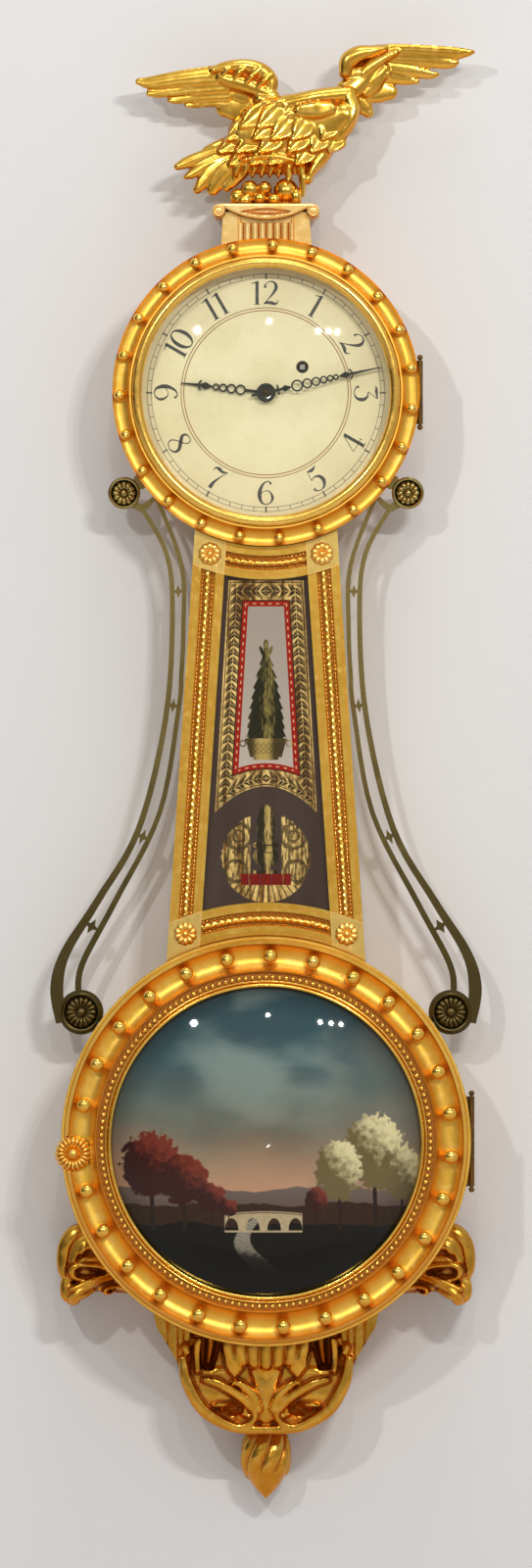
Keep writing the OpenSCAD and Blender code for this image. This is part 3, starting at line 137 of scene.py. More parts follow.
class Paint:
    """A material and its nodes. Lengths are millimetres on the object."""

    def __init__(self, name):
        self.material = bpy.data.materials.new(name)
        self.material.use_nodes = True
        self.tree = self.material.node_tree
        self.tree.nodes.clear()
        self.found = {}

    def node(self, kind, settings=None, values=None):
        made = self.tree.nodes.new("ShaderNode" + kind)
        for key, value in (settings or {}).items():
            setattr(made, key, value)
        for key, value in (values or {}).items():
            into = made.inputs[key]
            if isinstance(value, Amount):
                value = value.socket
            if isinstance(value, bpy.types.NodeSocket):
                self.tree.links.new(value, into)
            else:
                into.default_value = value
        return made

    def sum(self, operation, first, second=None):
        values = {0: first} if second is None else {0: first, 1: second}
        return Amount(self, self.node("Math", {"operation": operation}, values).outputs[0])

    def place(self):
        """Across, up and depth of each point in mm, kept on the object as it moves."""
        if "place" not in self.found:
            at = self.node("TexCoord").outputs["Object"]
            mm = self.node("VectorMath", {"operation": "SCALE"}, {0: at, "Scale": 1000.0}).outputs[0]
            parts = self.node("SeparateXYZ", None, {0: mm}).outputs
            self.found["mm"] = mm
            self.found["place"] = (Amount(self, parts[0]), Amount(self, parts[2]), -Amount(self, parts[1]))
        return self.found["place"]

    def steps(self, size, stretch=(1, 1, 1)):
        """Place on the object counted in steps of size mm, more of them along an axis that is stretched."""
        self.place()
        return self.node("VectorMath", {"operation": "MULTIPLY"},
                         {0: self.found["mm"], 1: [part / size for part in stretch]}).outputs[0]

    def grain(self, size, detail=2.0, stretch=(1, 1, 1), roughness=0.5):
        """Soft noise from 0 to 1 whose patches are about size mm across."""
        at = self.steps(size, stretch)
        noise = self.node("TexNoise", {"noise_dimensions": "3D"},
                          {"Vector": at, "Scale": 1.0, "Detail": detail, "Roughness": roughness})
        return Amount(self, noise.outputs[0])

    def cracks(self, size):
        """0 on the lines of a net of cracks about size mm apart, and more between them."""
        made = self.node("TexVoronoi", {"feature": "DISTANCE_TO_EDGE"},
                         {"Vector": self.steps(size), "Scale": 1.0})
        return Amount(self, made.outputs["Distance"])

    def facing_up(self):
        """How far the face looks up: 1 at the top of a piece, -1 underneath."""
        normal = self.node("TexCoord").outputs["Normal"]
        return Amount(self, self.node("SeparateXYZ", None, {0: normal}).outputs[2])

    def mix(self, amount, first, second):
        """Colour that goes from first to second as amount goes from 0 to 1."""
        made = self.node("Mix", {"data_type": "RGBA", "clamp_factor": True},
                         {0: amount, 6: first, 7: second})
        return made.outputs[2]

    def attribute(self, name):
        return Amount(self, self.node("Attribute", {"attribute_name": name}).outputs["Fac"])

    def bump(self, height, deep):
        """Normal of a surface whose height goes from 0 to 1 over deep mm."""
        values = {"Height": height, "Strength": 1.0, "Distance": deep / 1000}
        return self.node("Bump", None, values).outputs[0]

    def finish(self, colour, roughness, metallic=0.0, normal=None, **fixed):
        """Closes the material with one surface shader. Names in fixed are its sockets, set evenly."""
        values = {"Base Color": colour, "Roughness": roughness, "Metallic": metallic}
        if normal is not None:
            values["Normal"] = normal
        values.update({key.replace("_", " "): value for key, value in fixed.items()})
        surface = self.node("BsdfPrincipled", None, values)
        self.close(surface.outputs[0])
        return self.material

    def close(self, surface):
        self.node("OutputMaterial", None, {0: surface})


def dress(node, material):
    """Gives a CAD node its finish."""
    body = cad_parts[node]
    body.data.materials.clear()
    body.data.materials.append(material)
    for face in body.data.polygons:
        face.material_index = 0


# Shapes: rows of points and faces gathered in front view
class Shape:
    """One piece being made, as points in front view and faces between them."""

    def __init__(self):
        self.points, self.faces, self.grooves, self.count = [], [], [], 0
        self.flat_back = None

    def add(self, points, faces, groove=None):
        points = np.asarray(points, float)
        groove = np.zeros(len(points)) if groove is None else np.broadcast_to(groove, (len(points),))
        self.points.append(points)
        self.grooves.append(groove)
        self.faces.extend([tuple(int(i) + self.count for i in face) for face in faces])
        self.count += len(points)

    def grid(self, points, groove=None, around=False, over=False):
        """Faces over rows of points. Around joins the last column to the first, over the rows."""
        rows, columns = points.shape[:2]
        i = np.arange(rows * columns).reshape(rows, columns)
        if around:
            i = np.concatenate([i, i[:, :1]], 1)
        if over:
            i = np.concatenate([i, i[:1]], 0)
        quads = np.stack([i[:-1, :-1], i[:-1, 1:], i[1:, 1:], i[1:, :-1]], -1).reshape(-1, 4)
        self.add(points.reshape(-1, 3), quads, None if groove is None else np.ravel(groove))

    def fan(self, ring, tip, groove=None, flip=False):
        """Closes a ring of points with faces to one tip."""
        n = len(ring)
        faces = [(k, (k + 1) % n, n) for k in range(n)]
        if flip:
            faces = [face[::-1] for face in faces]
        self.add(np.vstack([ring, tip]), faces, groove)

    def make(self, name, material, body, nodes=(), sharp=40):
        points = np.vstack(self.points)
        metres = np.stack([points[:, 0], -points[:, 2], points[:, 1]], 1) / 1000
        mesh = bpy.data.meshes.new(name)
        mesh.from_pydata(metres.tolist(), [], self.faces)
        groove = mesh.attributes.new("groove", "FLOAT", "POINT")
        groove.data.foreach_set("value", np.concatenate(self.grooves).astype(np.float32))
        mesh.materials.append(material)
        mesh.validate()
        if self.flat_back is not None:
            join_flat_back(mesh, -self.flat_back / 1000)
        mesh.shade_smooth()
        mesh.set_sharp_from_angle(angle=math.radians(sharp))
        piece = bpy.data.objects.new(name, mesh)
        bpy.context.scene.collection.objects.link(piece)
        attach(piece, body)
        if nodes:
            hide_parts(*nodes)
        return piece


def join_flat_back(mesh, y):
    """Joins the small faces of a carving's flat back."""
    def level(corners):
        return all(abs(corner.co.y - y) < 1e-6 for corner in corners)
    body = bmesh.new()
    body.from_mesh(mesh)
    flat = [face for face in body.faces if level(face.verts)]
    inner = [corner for corner in {corner for face in flat for corner in face.verts}
             if level(edge.other_vert(corner) for edge in corner.link_edges)]
    between = [edge for edge in {edge for face in flat for edge in face.edges}
               if all(level(face.verts) for face in edge.link_faces)]
    bmesh.ops.dissolve_limit(body, angle_limit=0.01, verts=inner, edges=between)
    body.to_mesh(mesh)
    body.free()


def smooth_line(points, steps=8):
    """Smooth line through rows of numbers, with this many steps between each two rows."""
    p = np.asarray(points, float)
    p = np.vstack([2 * p[0] - p[1], p, 2 * p[-1] - p[-2]])
    t = np.linspace(0, 1, steps, endpoint=False)[:, None]
    rows = []
    for a, b, c, d in zip(p[:-3], p[1:-2], p[2:-1], p[3:]):
        rows.append(0.5 * (2 * b + (c - a) * t + (2 * a - 5 * b + 4 * c - d) * t ** 2
                           + (3 * b - a - 3 * c + d) * t ** 3))
    return np.vstack(rows + [p[-2][None]])


def even_line(points, gap):
    """Points along the same line, about gap apart."""
    p = np.asarray(points, float)
    far = np.concatenate([[0], np.cumsum(np.linalg.norm(np.diff(p[:, :2], axis=0), axis=1))])
    n = max(int(round(far[-1] / gap)), 2)
    at = np.linspace(0, far[-1], n + 1)
    return np.stack([np.interp(at, far, column) for column in p.T], 1)


def turned_points(profile, n, centre=(0, 0), first=0.0, last=360.0):
    """A profile of (radius, depth) turned round an axis that points out of the wall."""
    profile = np.asarray(profile, float)
    a = np.radians(np.linspace(first, last, n, endpoint=last - first < 359.9))[None, :]
    r, d = profile[:, :1], profile[:, 1:2]
    return np.stack([centre[0] + r * np.sin(a), centre[1] + r * np.cos(a), d + 0 * a], -1)


def ball(shape, x, u, d, r, rows=12, columns=20, groove=0.0):
    a = np.linspace(0, math.pi, rows + 1)[1:-1, None]
    b = np.linspace(0, 2 * math.pi, columns, endpoint=False)[None, :]
    across, up = r * np.sin(a) * np.sin(b), r * np.sin(a) * np.cos(b)
    ring = np.stack([x + across, u + up, d + r * np.cos(a) + 0 * b], -1)
    n = shape.count
    shape.grid(ring, np.full(ring.shape[:2], groove), around=True)
    shape.points.append(np.array([[x, u, d + r], [x, u, d - r]]))
    shape.grooves.append(np.full(2, groove))
    shape.count += 2
    front, back = shape.count - 2, shape.count - 1
    low = n + (rows - 2) * columns
    for k in range(columns):
        nxt = (k + 1) % columns
        shape.faces.append((n + nxt, n + k, front))
        shape.faces.append((low + k, low + nxt, back))


def sweep(shape, path, across):
    """Carries a closed outline along a path of (x, u, d). Across gives, for each path point, rows of
    (sideways, outwards) in mm. The ends are closed."""
    path = np.asarray(path, float)
    step = np.gradient(path, axis=0)
    step /= np.linalg.norm(step, axis=1)[:, None]
    out = np.array([0.0, 0.0, 1.0])
    side = np.cross(step, out)
    side /= np.linalg.norm(side, axis=1)[:, None]
    up = np.cross(side, step)
    rows = path[:, None] + across[..., :1] * side[:, None] + across[..., 1:2] * up[:, None]
    shape.grid(rows, around=True)
    shape.fan(rows[0], rows[0].mean(0), flip=True)
    shape.fan(rows[-1], rows[-1].mean(0))


def box_mean(field, weight, reach):
    """Mean of the field within reach cells each way, where weight is above 0."""
    def sums(a):
        for axis in (0, 1):
            pad = [(0, 0), (0, 0)]
            pad[axis] = (reach + 1, reach)
            total = np.cumsum(np.pad(a, pad), axis=axis)
            n = total.shape[axis]
            a = (np.take(total, range(2 * reach + 1, n), axis=axis)
                 - np.take(total, range(0, n - 2 * reach - 1), axis=axis))
        return a
    return sums(field * weight) / np.maximum(sums(weight * 1.0), 1e-6)


WHOLE = (slice(None), slice(None))


class Relief:
    """A carving, worked as heights over a fine grid in front view and cut out along its edge. Its box and its
    strokes are drawn in mm from a centre at this height, with depths from the wall."""

    def __init__(self, centre, x0, v0, x1, v1, cell=0.8):
        self.centre, self.cell = centre, cell
        self.xs, self.us = np.arange(x0, x1 + cell, cell), np.arange(v0 + centre, v1 + centre + cell, cell)
        self.x, self.u = np.meshgrid(self.xs, self.us)
        self.inside = np.full(self.x.shape, -9.0)
        self.height = np.zeros(self.x.shape)
        self.rim = np.zeros(self.x.shape)

    def merge(self, part, into, height, rim):
        """Lays a form over what is there, where it is higher. Into is mm in from the form's edge."""
        tall, inside, edge = self.height[part], self.inside[part], self.rim[part]
        hit = (into > 0) & ((inside <= 0) | (height > tall))
        tall[hit] = height[hit]
        near = (into <= 0) & (into > inside)
        edge[near] = rim[near]
        np.maximum(inside, into, out=inside)

    def along(self, points):
        """For the grid near a line of (x, v, half width, depth): the part of the grid, how far each point
        is from the line, on which side, and the line's half width and depth there."""
        line = [(x, v + self.centre, half, depth) for x, v, half, depth in points]
        path = even_line(smooth_line(line), 0.8)
        room = path[:, 2].max() + 4 * self.cell
        low, high = path[:, :2].min(0) - room, path[:, :2].max(0) + room
        across = np.searchsorted(self.xs, (low[0], high[0]))
        up = np.searchsorted(self.us, (low[1], high[1]))
        part = (slice(*up), slice(*across))
        dx = self.x[part][..., None] - path[:, 0]
        du = self.u[part][..., None] - path[:, 1]
        near = np.argmin(dx * dx + du * du, -1)
        dx = np.take_along_axis(dx, near[..., None], -1)[..., 0]
        du = np.take_along_axis(du, near[..., None], -1)[..., 0]
        step = np.gradient(path[:, :2], axis=0)
        gap = np.linalg.norm(step, axis=1)
        step /= gap[:, None]
        forward = dx * step[near, 0] + du * step[near, 1]
        side = dx * step[near, 1] - du * step[near, 0]
        last = len(path) - 1
        past = ((near == 0) & (forward < 0)) | ((near == last) & (forward > 0))
        away = np.where(past, np.hypot(dx, du), np.abs(side))
        at = np.clip(near + forward / gap[near], 0, last)
        half = np.maximum(np.interp(at, np.arange(last + 1), path[:, 2]), 0.05)
        depth = np.interp(at, np.arange(last + 1), path[:, 3])
        return part, away, np.sign(side), half, depth

    def lobe(self, points, rise=3.0, square=2.0, hollow=0.0, keel=0.0, tilt=0.0):
        """A leaf, petal or feather along a line of (x, v, half width, depth): domed by rise, gouged by
        hollow, with a raised middle line or one side tilted up."""
        part, away, side, half, depth = self.along(points)
        s = np.clip(away / half, 0, 1)
        lift = rise * (1 - s ** square) ** (1 / square)
        lift -= hollow * np.cos(0.5 * math.pi * s) ** 2
        lift += keel * np.exp(-(s / 0.2) ** 2) + tilt * s * side
        self.merge(part, half - away, depth + lift, depth)

    def carve(self, strokes, side=1):
        """Lobes from rows of (line, form), mirrored left to right where side is -1."""
        for points, form in strokes:
            self.lobe([(side * x, v, half, depth) for x, v, half, depth in points], **form)

    def gouge(self, points, soft=1.0):
        """A hollow cut down to the depths of a line of (x, v, half width, depth)."""
        part, away, _, half, depth = self.along(points)
        s = away / half
        tall = self.height[part]
        floor = depth + (tall - depth) * np.clip(s, 0, 1) ** (2 / soft)
        hit = (s < 1) & (tall > floor)
        tall[hit] = floor[hit]

    def mound(self, x, v, wide, high, rise, depth, square=2.0):
        """A rounded lump with half sizes wide and high."""
        r = np.hypot((self.x - x) / wide, (self.u - (v + self.centre)) / high)
        lift = rise * np.clip(1 - r ** square, 0, 1) ** (1 / square)
        self.merge(WHOLE, (1 - r) * min(wide, high), depth + lift, np.full(r.shape, float(depth)))

    def plate(self, outline, height):
        """A flat form with straight edges. Height is a number or a field."""
        p = np.asarray(outline, float) + (0, self.centre)
        q = np.roll(p, -1, 0)
        inside = np.zeros(self.x.shape, bool)
        away = np.full(self.x.shape, 99.0)
        for (ax, au), (bx, bu) in zip(p, q):
            crosses = (au > self.u) != (bu > self.u)
            if au != bu:
                inside ^= crosses & (self.x < ax + (self.u - au) * (bx - ax) / (bu - au))
            t = ((self.x - ax) * (bx - ax) + (self.u - au) * (bu - au)) / ((bx - ax) ** 2 + (bu - au) ** 2)
            t = np.clip(t, 0, 1)
            away = np.minimum(away, np.hypot(self.x - ax - t * (bx - ax), self.u - au - t * (bu - au)))
        height = np.broadcast_to(height, self.x.shape)
        self.merge(WHOLE, np.where(inside, away, -away), height, height)

    def trim(self, keep):
        """Cuts the edge back to where keep, in mm, is above 0."""
        np.minimum(self.inside, keep, out=self.inside)

    def close(self, depth):
        """Fills the gaps that the forms leave inside their common outline, at this depth."""
        empty = self.inside <= 0
        outer = np.zeros_like(empty)
        outer[[0, -1]] = outer[:, [0, -1]] = True
        reached = 0
        while outer.sum() > reached:
            reached = outer.sum()
            for rows, back_rows in ((slice(1, None), slice(None, -1)), (slice(None, -1), slice(1, None))):
                outer[rows] |= outer[back_rows]
                outer[:, rows] |= outer[:, back_rows]
                outer &= empty
        gaps = empty & ~outer
        self.inside[gaps] = 1.0
        self.height[gaps] = depth

    def mesh(self, shape, back, mirror=False, soften=1, reach=2.6):
        """Adds the carving to a shape, with its sides and a flat back at depth back."""
        keep = self.inside > 0
        tall = np.where(keep, self.height, np.where(self.inside > -2.5 * self.cell, self.rim, self.height))
        near = self.inside > -2.5 * self.cell
        tall = np.where(near, np.maximum(tall, back + 0.4), back + 0.4)
        for _ in range(soften):
            tall = 0.4 * tall + 0.6 * box_mean(tall, near, 1)
        cells = keep[:-1, :-1] | keep[:-1, 1:] | keep[1:, :-1] | keep[1:, 1:]
        used = np.zeros_like(keep)
        for rows in (slice(None, -1), slice(1, None)):
            for columns in (slice(None, -1), slice(1, None)):
                used[rows, columns] |= cells
        up, across = np.gradient(self.inside, self.cell)
        size = np.maximum(across ** 2 + up ** 2, 0.25)
        shift = np.where(used & ~keep, -self.inside / size, 0)
        shift = np.clip(shift, 0, 1.3 * self.cell / np.sqrt(size))
        x, u = self.x + across * shift, self.u + up * shift
        # Groove: how far each point lies below those around it, where the gilt paints bole and painted shade.
        groove = np.clip((box_mean(tall, near, max(int(reach / self.cell), 1)) - tall) / 1.2, 0, 1)
        number = np.full(keep.shape, -1)
        n = int(used.sum())
        number[used] = np.arange(n)
        if mirror:
            x = -x
        front = np.stack([x[used], u[used], tall[used]], 1)
        rear = np.stack([x[used], u[used], np.full(n, float(back))], 1)
        a, b = number[:-1, :-1][cells], number[:-1, 1:][cells]
        c, d = number[1:, 1:][cells], number[1:, :-1][cells]
        quads = np.stack([a, b, c, d], 1)
        walls = []
        open_sides = np.pad(cells, 1)
        for (di, dj), (p, q) in {(-1, 0): (0, 1), (0, 1): (1, 2), (1, 0): (2, 3), (0, -1): (3, 0)}.items():
            beside = open_sides[1 + di:open_sides.shape[0] - 1 + di, 1 + dj:open_sides.shape[1] - 1 + dj]
            edge = (~beside)[cells]
            first, second = quads[edge, q], quads[edge, p]
            walls.append(np.stack([first, second, second + n, first + n], 1))
        faces = np.vstack([quads, quads[:, ::-1] + n] + walls)
        if mirror:
            faces = faces[:, ::-1]
        shape.flat_back = back
        shape.add(np.vstack([front, rear]), faces.tolist(), np.concatenate([groove[used], np.zeros(n)]))


# Colours of the finishes
GOLD = rgb(242, 196, 84)
GOLD_DEEP = rgb(224, 172, 62)
GOLD_PALE = rgb(252, 222, 128)
GOLD_UNDERSIDE_SHADE = rgb(226, 136, 28)
BOLE = rgb(188, 108, 26)
BOLE_DARK_AND_SHADE = rgb(80, 44, 14)
CARVED_GOLD = rgb(242, 194, 80)
CARVED_PALE = rgb(252, 218, 122)
WOOD = rgb(142, 96, 58)
WOOD_DARK = rgb(92, 56, 30)


def gilding(paint, light=GOLD, deep=GOLD_DEEP, pale=GOLD_PALE, recess=None, rub=0.2, wear=0.7, rough=0.24,
            metal=1.0):
    """Colour, roughness, metal and bump of gold leaf on bole, with a painted orange shade on faces that look
    down. Recess is 1 in hollows, which get bole and painted shade.
    """
    broad, fine, specks = paint.grain(30, 2), paint.grain(6, 3), paint.grain(1.3, 2)
    colour = paint.mix(broad.over(0.5, 0.25) * 0.7, light, deep)
    colour = paint.mix(fine.over(0.58, 0.14) * 0.35, colour, pale)
    # Painted shade: faces that look down are mixed towards an orange shade.
    colour = paint.mix((0.1 - paint.facing_up()).over(0.3, 0.4) * 0.6, colour, GOLD_UNDERSIDE_SHADE)
    worn = (fine * 0.5 + specks * 0.3 + broad * 0.3).over(wear, 0.06)
    colour = paint.mix(worn * rub, colour, BOLE)
    metal = metal * (1 - worn * rub * 0.8)
    shine = rough + fine * 0.1 + worn * 0.2
    # Recesses get bole, and painted shade that is darkest in the deepest hollows.
    if recess is not None:
        uneven = (recess * (0.8 + fine * 0.4)).least(1)
        colour = paint.mix(uneven.over(0.35, 0.35) * 0.8, colour, BOLE)
        colour = paint.mix(uneven.over(0.85, 0.15) * 0.7, colour, BOLE_DARK_AND_SHADE)
        metal = metal * (1 - uneven.over(0.6, 0.3) * 0.6)
        shine = shine + uneven * 0.25
    relief = paint.bump(fine * 0.4 + specks * 0.2, 0.1)
    return colour, shine, metal, relief


def bare_wood(paint):
    rings = paint.grain(5, 3, (1.0, 1.0, 0.06))
    pores = paint.grain(1.0, 2, (1.0, 1.0, 0.03))
    colour = paint.mix(rings, WOOD_DARK, WOOD)
    colour = paint.mix(pores.over(0.62, 0.08) * 0.5, colour, rgb(48, 28, 16))
    return colour, 0.62 + pores * 0.2, pores


def gilt(name, recess=None, wood=None, bright=None, **tones):
    """Gilded wood. Recess, wood and bright are functions of the paint that give 1 in recesses, which get bole
    and painted shade, on bare wood, and where the leaf is burnished and lightened as a painted highlight."""
    paint = Paint(name)
    colour, rough, metal, relief = gilding(paint, recess=None if recess is None else recess(paint), **tones)
    if bright is not None:
        # Painted highlight: lighter gold where bright gives 1.
        colour = paint.mix(bright(paint) * 0.65, colour, rgb(255, 220, 132))
    if wood is not None:
        bare = wood(paint)
        plain, plain_rough, _ = bare_wood(paint)
        colour = paint.mix(bare, colour, plain)
        rough = rough * (1 - bare) + plain_rough * bare
        metal = metal * (1 - bare)
    return paint.finish(colour, rough, metal, relief)


def carved_gilt(name, depth=0.8, **tones):
    """Gilding on a carved piece, whose deeper parts get bole and painted shade."""
    return gilt(name, recess=lambda paint: paint.attribute("groove") * depth, **tones)


def brass_finish(name, light, dark, rough, tarnish, pits=0.05):
    """Old brass: warmer where handled, darker and duller in patches."""
    paint = Paint(name)
    broad, fine = paint.grain(18, 3), paint.grain(2.4, 3)
    dull = (broad * 0.7 + fine * 0.4).over(0.56, 0.12) * tarnish
    colour = paint.mix(dull, light, dark)
    relief = paint.bump(fine, pits)
    return paint.finish(colour, rough + dull * 0.3 + fine * 0.08, 1 - dull * 0.3, relief)


def iron_finish(name, light, dark, rough=0.55):
    paint = Paint(name)
    broad, fine = paint.grain(9, 3), paint.grain(1.6, 3)
    rust = (broad * 0.6 + fine * 0.5).over(0.62, 0.06)
    colour = paint.mix(broad, dark, light)
    colour = paint.mix(rust * 0.5, colour, rgb(92, 52, 30))
    return paint.finish(colour, rough + rust * 0.25, 0.75 - rust * 0.5, paint.bump(fine, 0.25))


def from_centre(paint, centre_u, centre_x=0.0):
    """Distance and bearing, in mm and radians clockwise from the top, round a centre in front view."""
    x, u, _ = paint.place()
    right, up = x - centre_x, u - centre_u
    return (right * right + up * up).root(), right.angle(up)


# Gilt wood of the cases and doors
HEAD_BORE = 108.4
LOWER_BORE = 151.4


def case_back(inside):
    """1 on bare wood: the back face and, where inside is true, the bores of the round cases."""
    def mask(paint):
        _, _, d = paint.place()
        head, _ = from_centre(paint, HEAD_U)
        lower, _ = from_centre(paint, LOWER_U)
        inside_head = head.under(HEAD_BORE, 0.2) * d.under(62, 0.3)
        inside_lower = lower.under(LOWER_BORE, 0.2)
        back = d.under(0.6, 0.3)
        return back.most(inside_head).most(inside_lower) if inside else back
    return mask


# Coves of the head's bezel, which get bole and painted shade.
def head_bezel_recess(paint):
    r, _ = from_centre(paint, HEAD_U)
    return (r.near(107.9, 0.4, 0.5) * 0.8).most(r.near(111.6, 0.3, 0.5) * 0.5)


# Coves of the lower door, which get bole and painted shade.
def lower_door_recess(paint):
    r, _ = from_centre(paint, LOWER_U)
    cove = (r.near(157.6, 0.4, 0.6) * 0.8).most(r.near(161.6, 0.4, 0.5) * 0.7)
    return cove.most(r.near(137.0, 0.4, 0.6) * 0.8)


def from_throat_side(paint, inset):
    """How far outside a line in the throat's face, which runs inset mm in from its slanting side."""
    x, u, _ = paint.place()
    return abs(x) + (u - HEAD_U + HEAD_R) * (THROAT_GROWS / THROAT_HIGH) - (THROAT_TOP - inset)


def throat_blocks(paint, line=False):
    """1 on the square blocks in the corners of the throat's frame, which get a painted highlight, or on the
    lines round them, which get bole and painted shade.
    """
    _, _, d = paint.place()
    beyond = from_throat_side(paint, 26)
    top, low = from_centre(paint, HEAD_U)[0] - 150, from_centre(paint, LOWER_U)[0] - 191
    rails, stiles = top.under(0, 0.2).most(low.under(0, 0.2)), beyond.over(0, 0.2)
    front = d.over(66.2, 0.2)
    if not line:
        return rails * stiles * front
    arcs = top.near(0, 0.4, 0.3).most(low.near(0, 0.4, 0.3))
    edges = (beyond.near(0, 0.4, 0.3) * rails).most(arcs * stiles)
    for at in (3.4, 23.6):
        edges = edges.most(beyond.near(at, 0.35, 0.3) * (1 - rails))
        edges = edges.most(top.near(-at, 0.35, 0.3).most(low.near(-at, 0.35, 0.3)) * (1 - stiles))
    return edges * front


def throat_wood(paint):
    """1 on the throat's back and on its inner faces, which are bare wood."""
    _, _, d = paint.place()
    inner = from_throat_side(paint, 7.7).under(0, 0.2)
    return case_back(False)(paint).most(inner * d.under(65.8, 0.1))


# The throat's channel and the lines round its blocks get bole and painted shade.
def throat_recess(paint):
    _, _, d = paint.place()
    return (d.near(72.0, 0.4, 0.3) * 0.5).most(throat_blocks(paint, line=True) * 0.75)


def arm_finish(name, carved=False):
    """Old brass that is darker lower down, darker in its grooves with patina and painted shade, and bare on
    worn edges.
    """
    paint = Paint(name)
    _, u, _ = paint.place()
    broad, fine = paint.grain(18, 3), paint.grain(2.4, 3)
    # Darker towards the bottom of the arm, and in random patches.
    lower_down = (u + 200) / -420 + (broad - 0.5) * 0.5
    dull = lower_down.over(0.35, 0.45) * 0.8
    # Grooves of carved brass: patina and painted shade.
    if carved:
        dull = dull.most(paint.attribute("groove").over(0.3, 0.3))
    colour = paint.mix(dull, rgb(164, 144, 88), rgb(46, 38, 20))
    return paint.finish(colour, 0.2 + dull * 0.12 + fine * 0.08, 1.0, paint.bump(fine, 0.03))


case_gilt = gilt("case_gilt", wood=case_back(True), light=GOLD_DEEP, deep=rgb(196, 132, 40),
                 rub=0.5, wear=0.62)
bezel_gilt = gilt("bezel_gilt", recess=head_bezel_recess, rough=0.36)
door_gilt = gilt("door_gilt", recess=lower_door_recess, rough=0.36)
throat_gilt = gilt("throat_gilt", recess=throat_recess, wood=throat_wood, bright=throat_blocks)
ball_gilt = gilt("ball_gilt", light=rgb(250, 202, 92), deep=GOLD, rub=0.1, rough=0.1)
carving_gilt = carved_gilt("carving_gilt", 0.85, light=rgb(218, 164, 62), deep=rgb(172, 120, 36),
                           pale=rgb(246, 206, 108), rough=0.15)
# Pale gold of the plinth and its cap: burnished leaf, made paler as a painted highlight.
burnished_highlight_gilt = carved_gilt("burnished_highlight_gilt", 0.8, light=rgb(255, 222, 142), deep=rgb(250, 200, 104),
                             pale=rgb(255, 240, 190), rub=0.3, rough=0.2, metal=0.6)
latch_gilt = carved_gilt("latch_gilt", 0.3, light=rgb(250, 214, 120), deep=rgb(236, 188, 84), rub=0.1)
eagle_gilt = carved_gilt("eagle_gilt", 0.6, light=CARVED_GOLD, deep=rgb(220, 162, 52), pale=CARVED_PALE,
                         rough=0.14)
rosette_gilt = carved_gilt("rosette_gilt", 0.6, light=rgb(255, 222, 132), deep=rgb(238, 188, 88),
                           rub=0.1, rough=0.24)
bead_gilt = carved_gilt("bead_gilt", 0.9, light=rgb(250, 202, 92), deep=GOLD, rub=0.1, rough=0.12)
sight_brass = brass_finish("sight_brass", rgb(250, 200, 96), rgb(214, 150, 56), 0.14, 0.3, pits=0.0)
hinge_brass = brass_finish("hinge_brass", rgb(120, 88, 44), rgb(66, 46, 24), 0.34, 0.6)
clock_brass = brass_finish("clock_brass", rgb(216, 176, 96), rgb(150, 108, 52), 0.3, 0.45)
arm_bronze = arm_finish("arm_bronze")
arm_rosette_bronze = arm_finish("arm_rosette_bronze", carved=True)
blue_steel = brass_finish("blue_steel", rgb(62, 62, 56), rgb(30, 31, 28), 0.36, 0.6)
dark_bronze = brass_finish("dark_bronze", rgb(92, 78, 50), rgb(40, 34, 22), 0.32, 0.6)
plain_steel = brass_finish("plain_steel", rgb(170, 170, 168), rgb(104, 100, 94), 0.3, 0.5)
sheet_iron_finish = iron_finish("sheet_iron_finish", rgb(104, 102, 98), rgb(62, 60, 58))
cast_iron_finish = iron_finish("cast_iron_finish", rgb(72, 68, 64), rgb(40, 38, 36), 0.7)


def dial_finish():
    """Cream oil paint on sheet iron, with its painted circles and minute track."""
    paint = Paint("dial_finish")
    _, _, d = paint.place()
    r, bearing = from_centre(paint, HEAD_U)
    broad, fine, specks = paint.grain(40, 3), paint.grain(7, 3), paint.grain(1.1, 2)
    colour = paint.mix(broad.over(0.5, 0.25), rgb(240, 231, 190), rgb(230, 219, 174))
    colour = paint.mix(fine.over(0.62, 0.1) * 0.2, colour, rgb(216, 204, 164))
    colour = paint.mix(specks.over(0.74, 0.04) * 0.4, colour, rgb(120, 100, 70))
    ink = rgb(58, 56, 54)
    minute = bearing * (60 / (2 * math.pi)) + 0.5
    off = abs(minute % 1 - 0.5) * (2 * math.pi / 60) * r
    hour = bearing * (12 / (2 * math.pi)) + 0.5
    off_hour = abs(hour % 1 - 0.5) * (2 * math.pi / 12) * r
    track_in, track_out = 92.0, 95.4
    track = r.near(track_out, 0.24, 0.12).most(r.near(track_in, 0.24, 0.12))
    minute_ticks = off.under(0.3, 0.12) * r.within(track_in, track_out)
    ticks = minute_ticks.most(off_hour.under(0.75, 0.12) * r.within(91.2, 96.2))
    print_mask = track.most(ticks) * (0.75 + fine * 0.25)
    colour = paint.mix(print_mask, colour, ink)
    gold_line = r.near(66.0, 0.4, 0.12).most(r.near(68.2, 0.36, 0.12))
    colour = paint.mix(gold_line, colour, rgb(150, 102, 36))
    hole, _ = from_centre(paint, HEAD_U + WINDING_V, WINDING_X)
    colour = paint.mix(hole.under(5.0, 0.2), colour, rgb(40, 34, 28))
    edge = d.under(65.8, 0.2).most(d.under(66.6, 0.1) * r.over(107.3, 0.1))
    colour = paint.mix(edge, colour, rgb(70, 66, 62))
    crackle = paint.cracks(9).under(0.02, 0.02)
    relief = paint.bump(fine * 0.4 - crackle * 0.25 + print_mask * 0.2, 0.1)
    return paint.finish(colour, 0.42 + fine * 0.12, 0.0, relief)


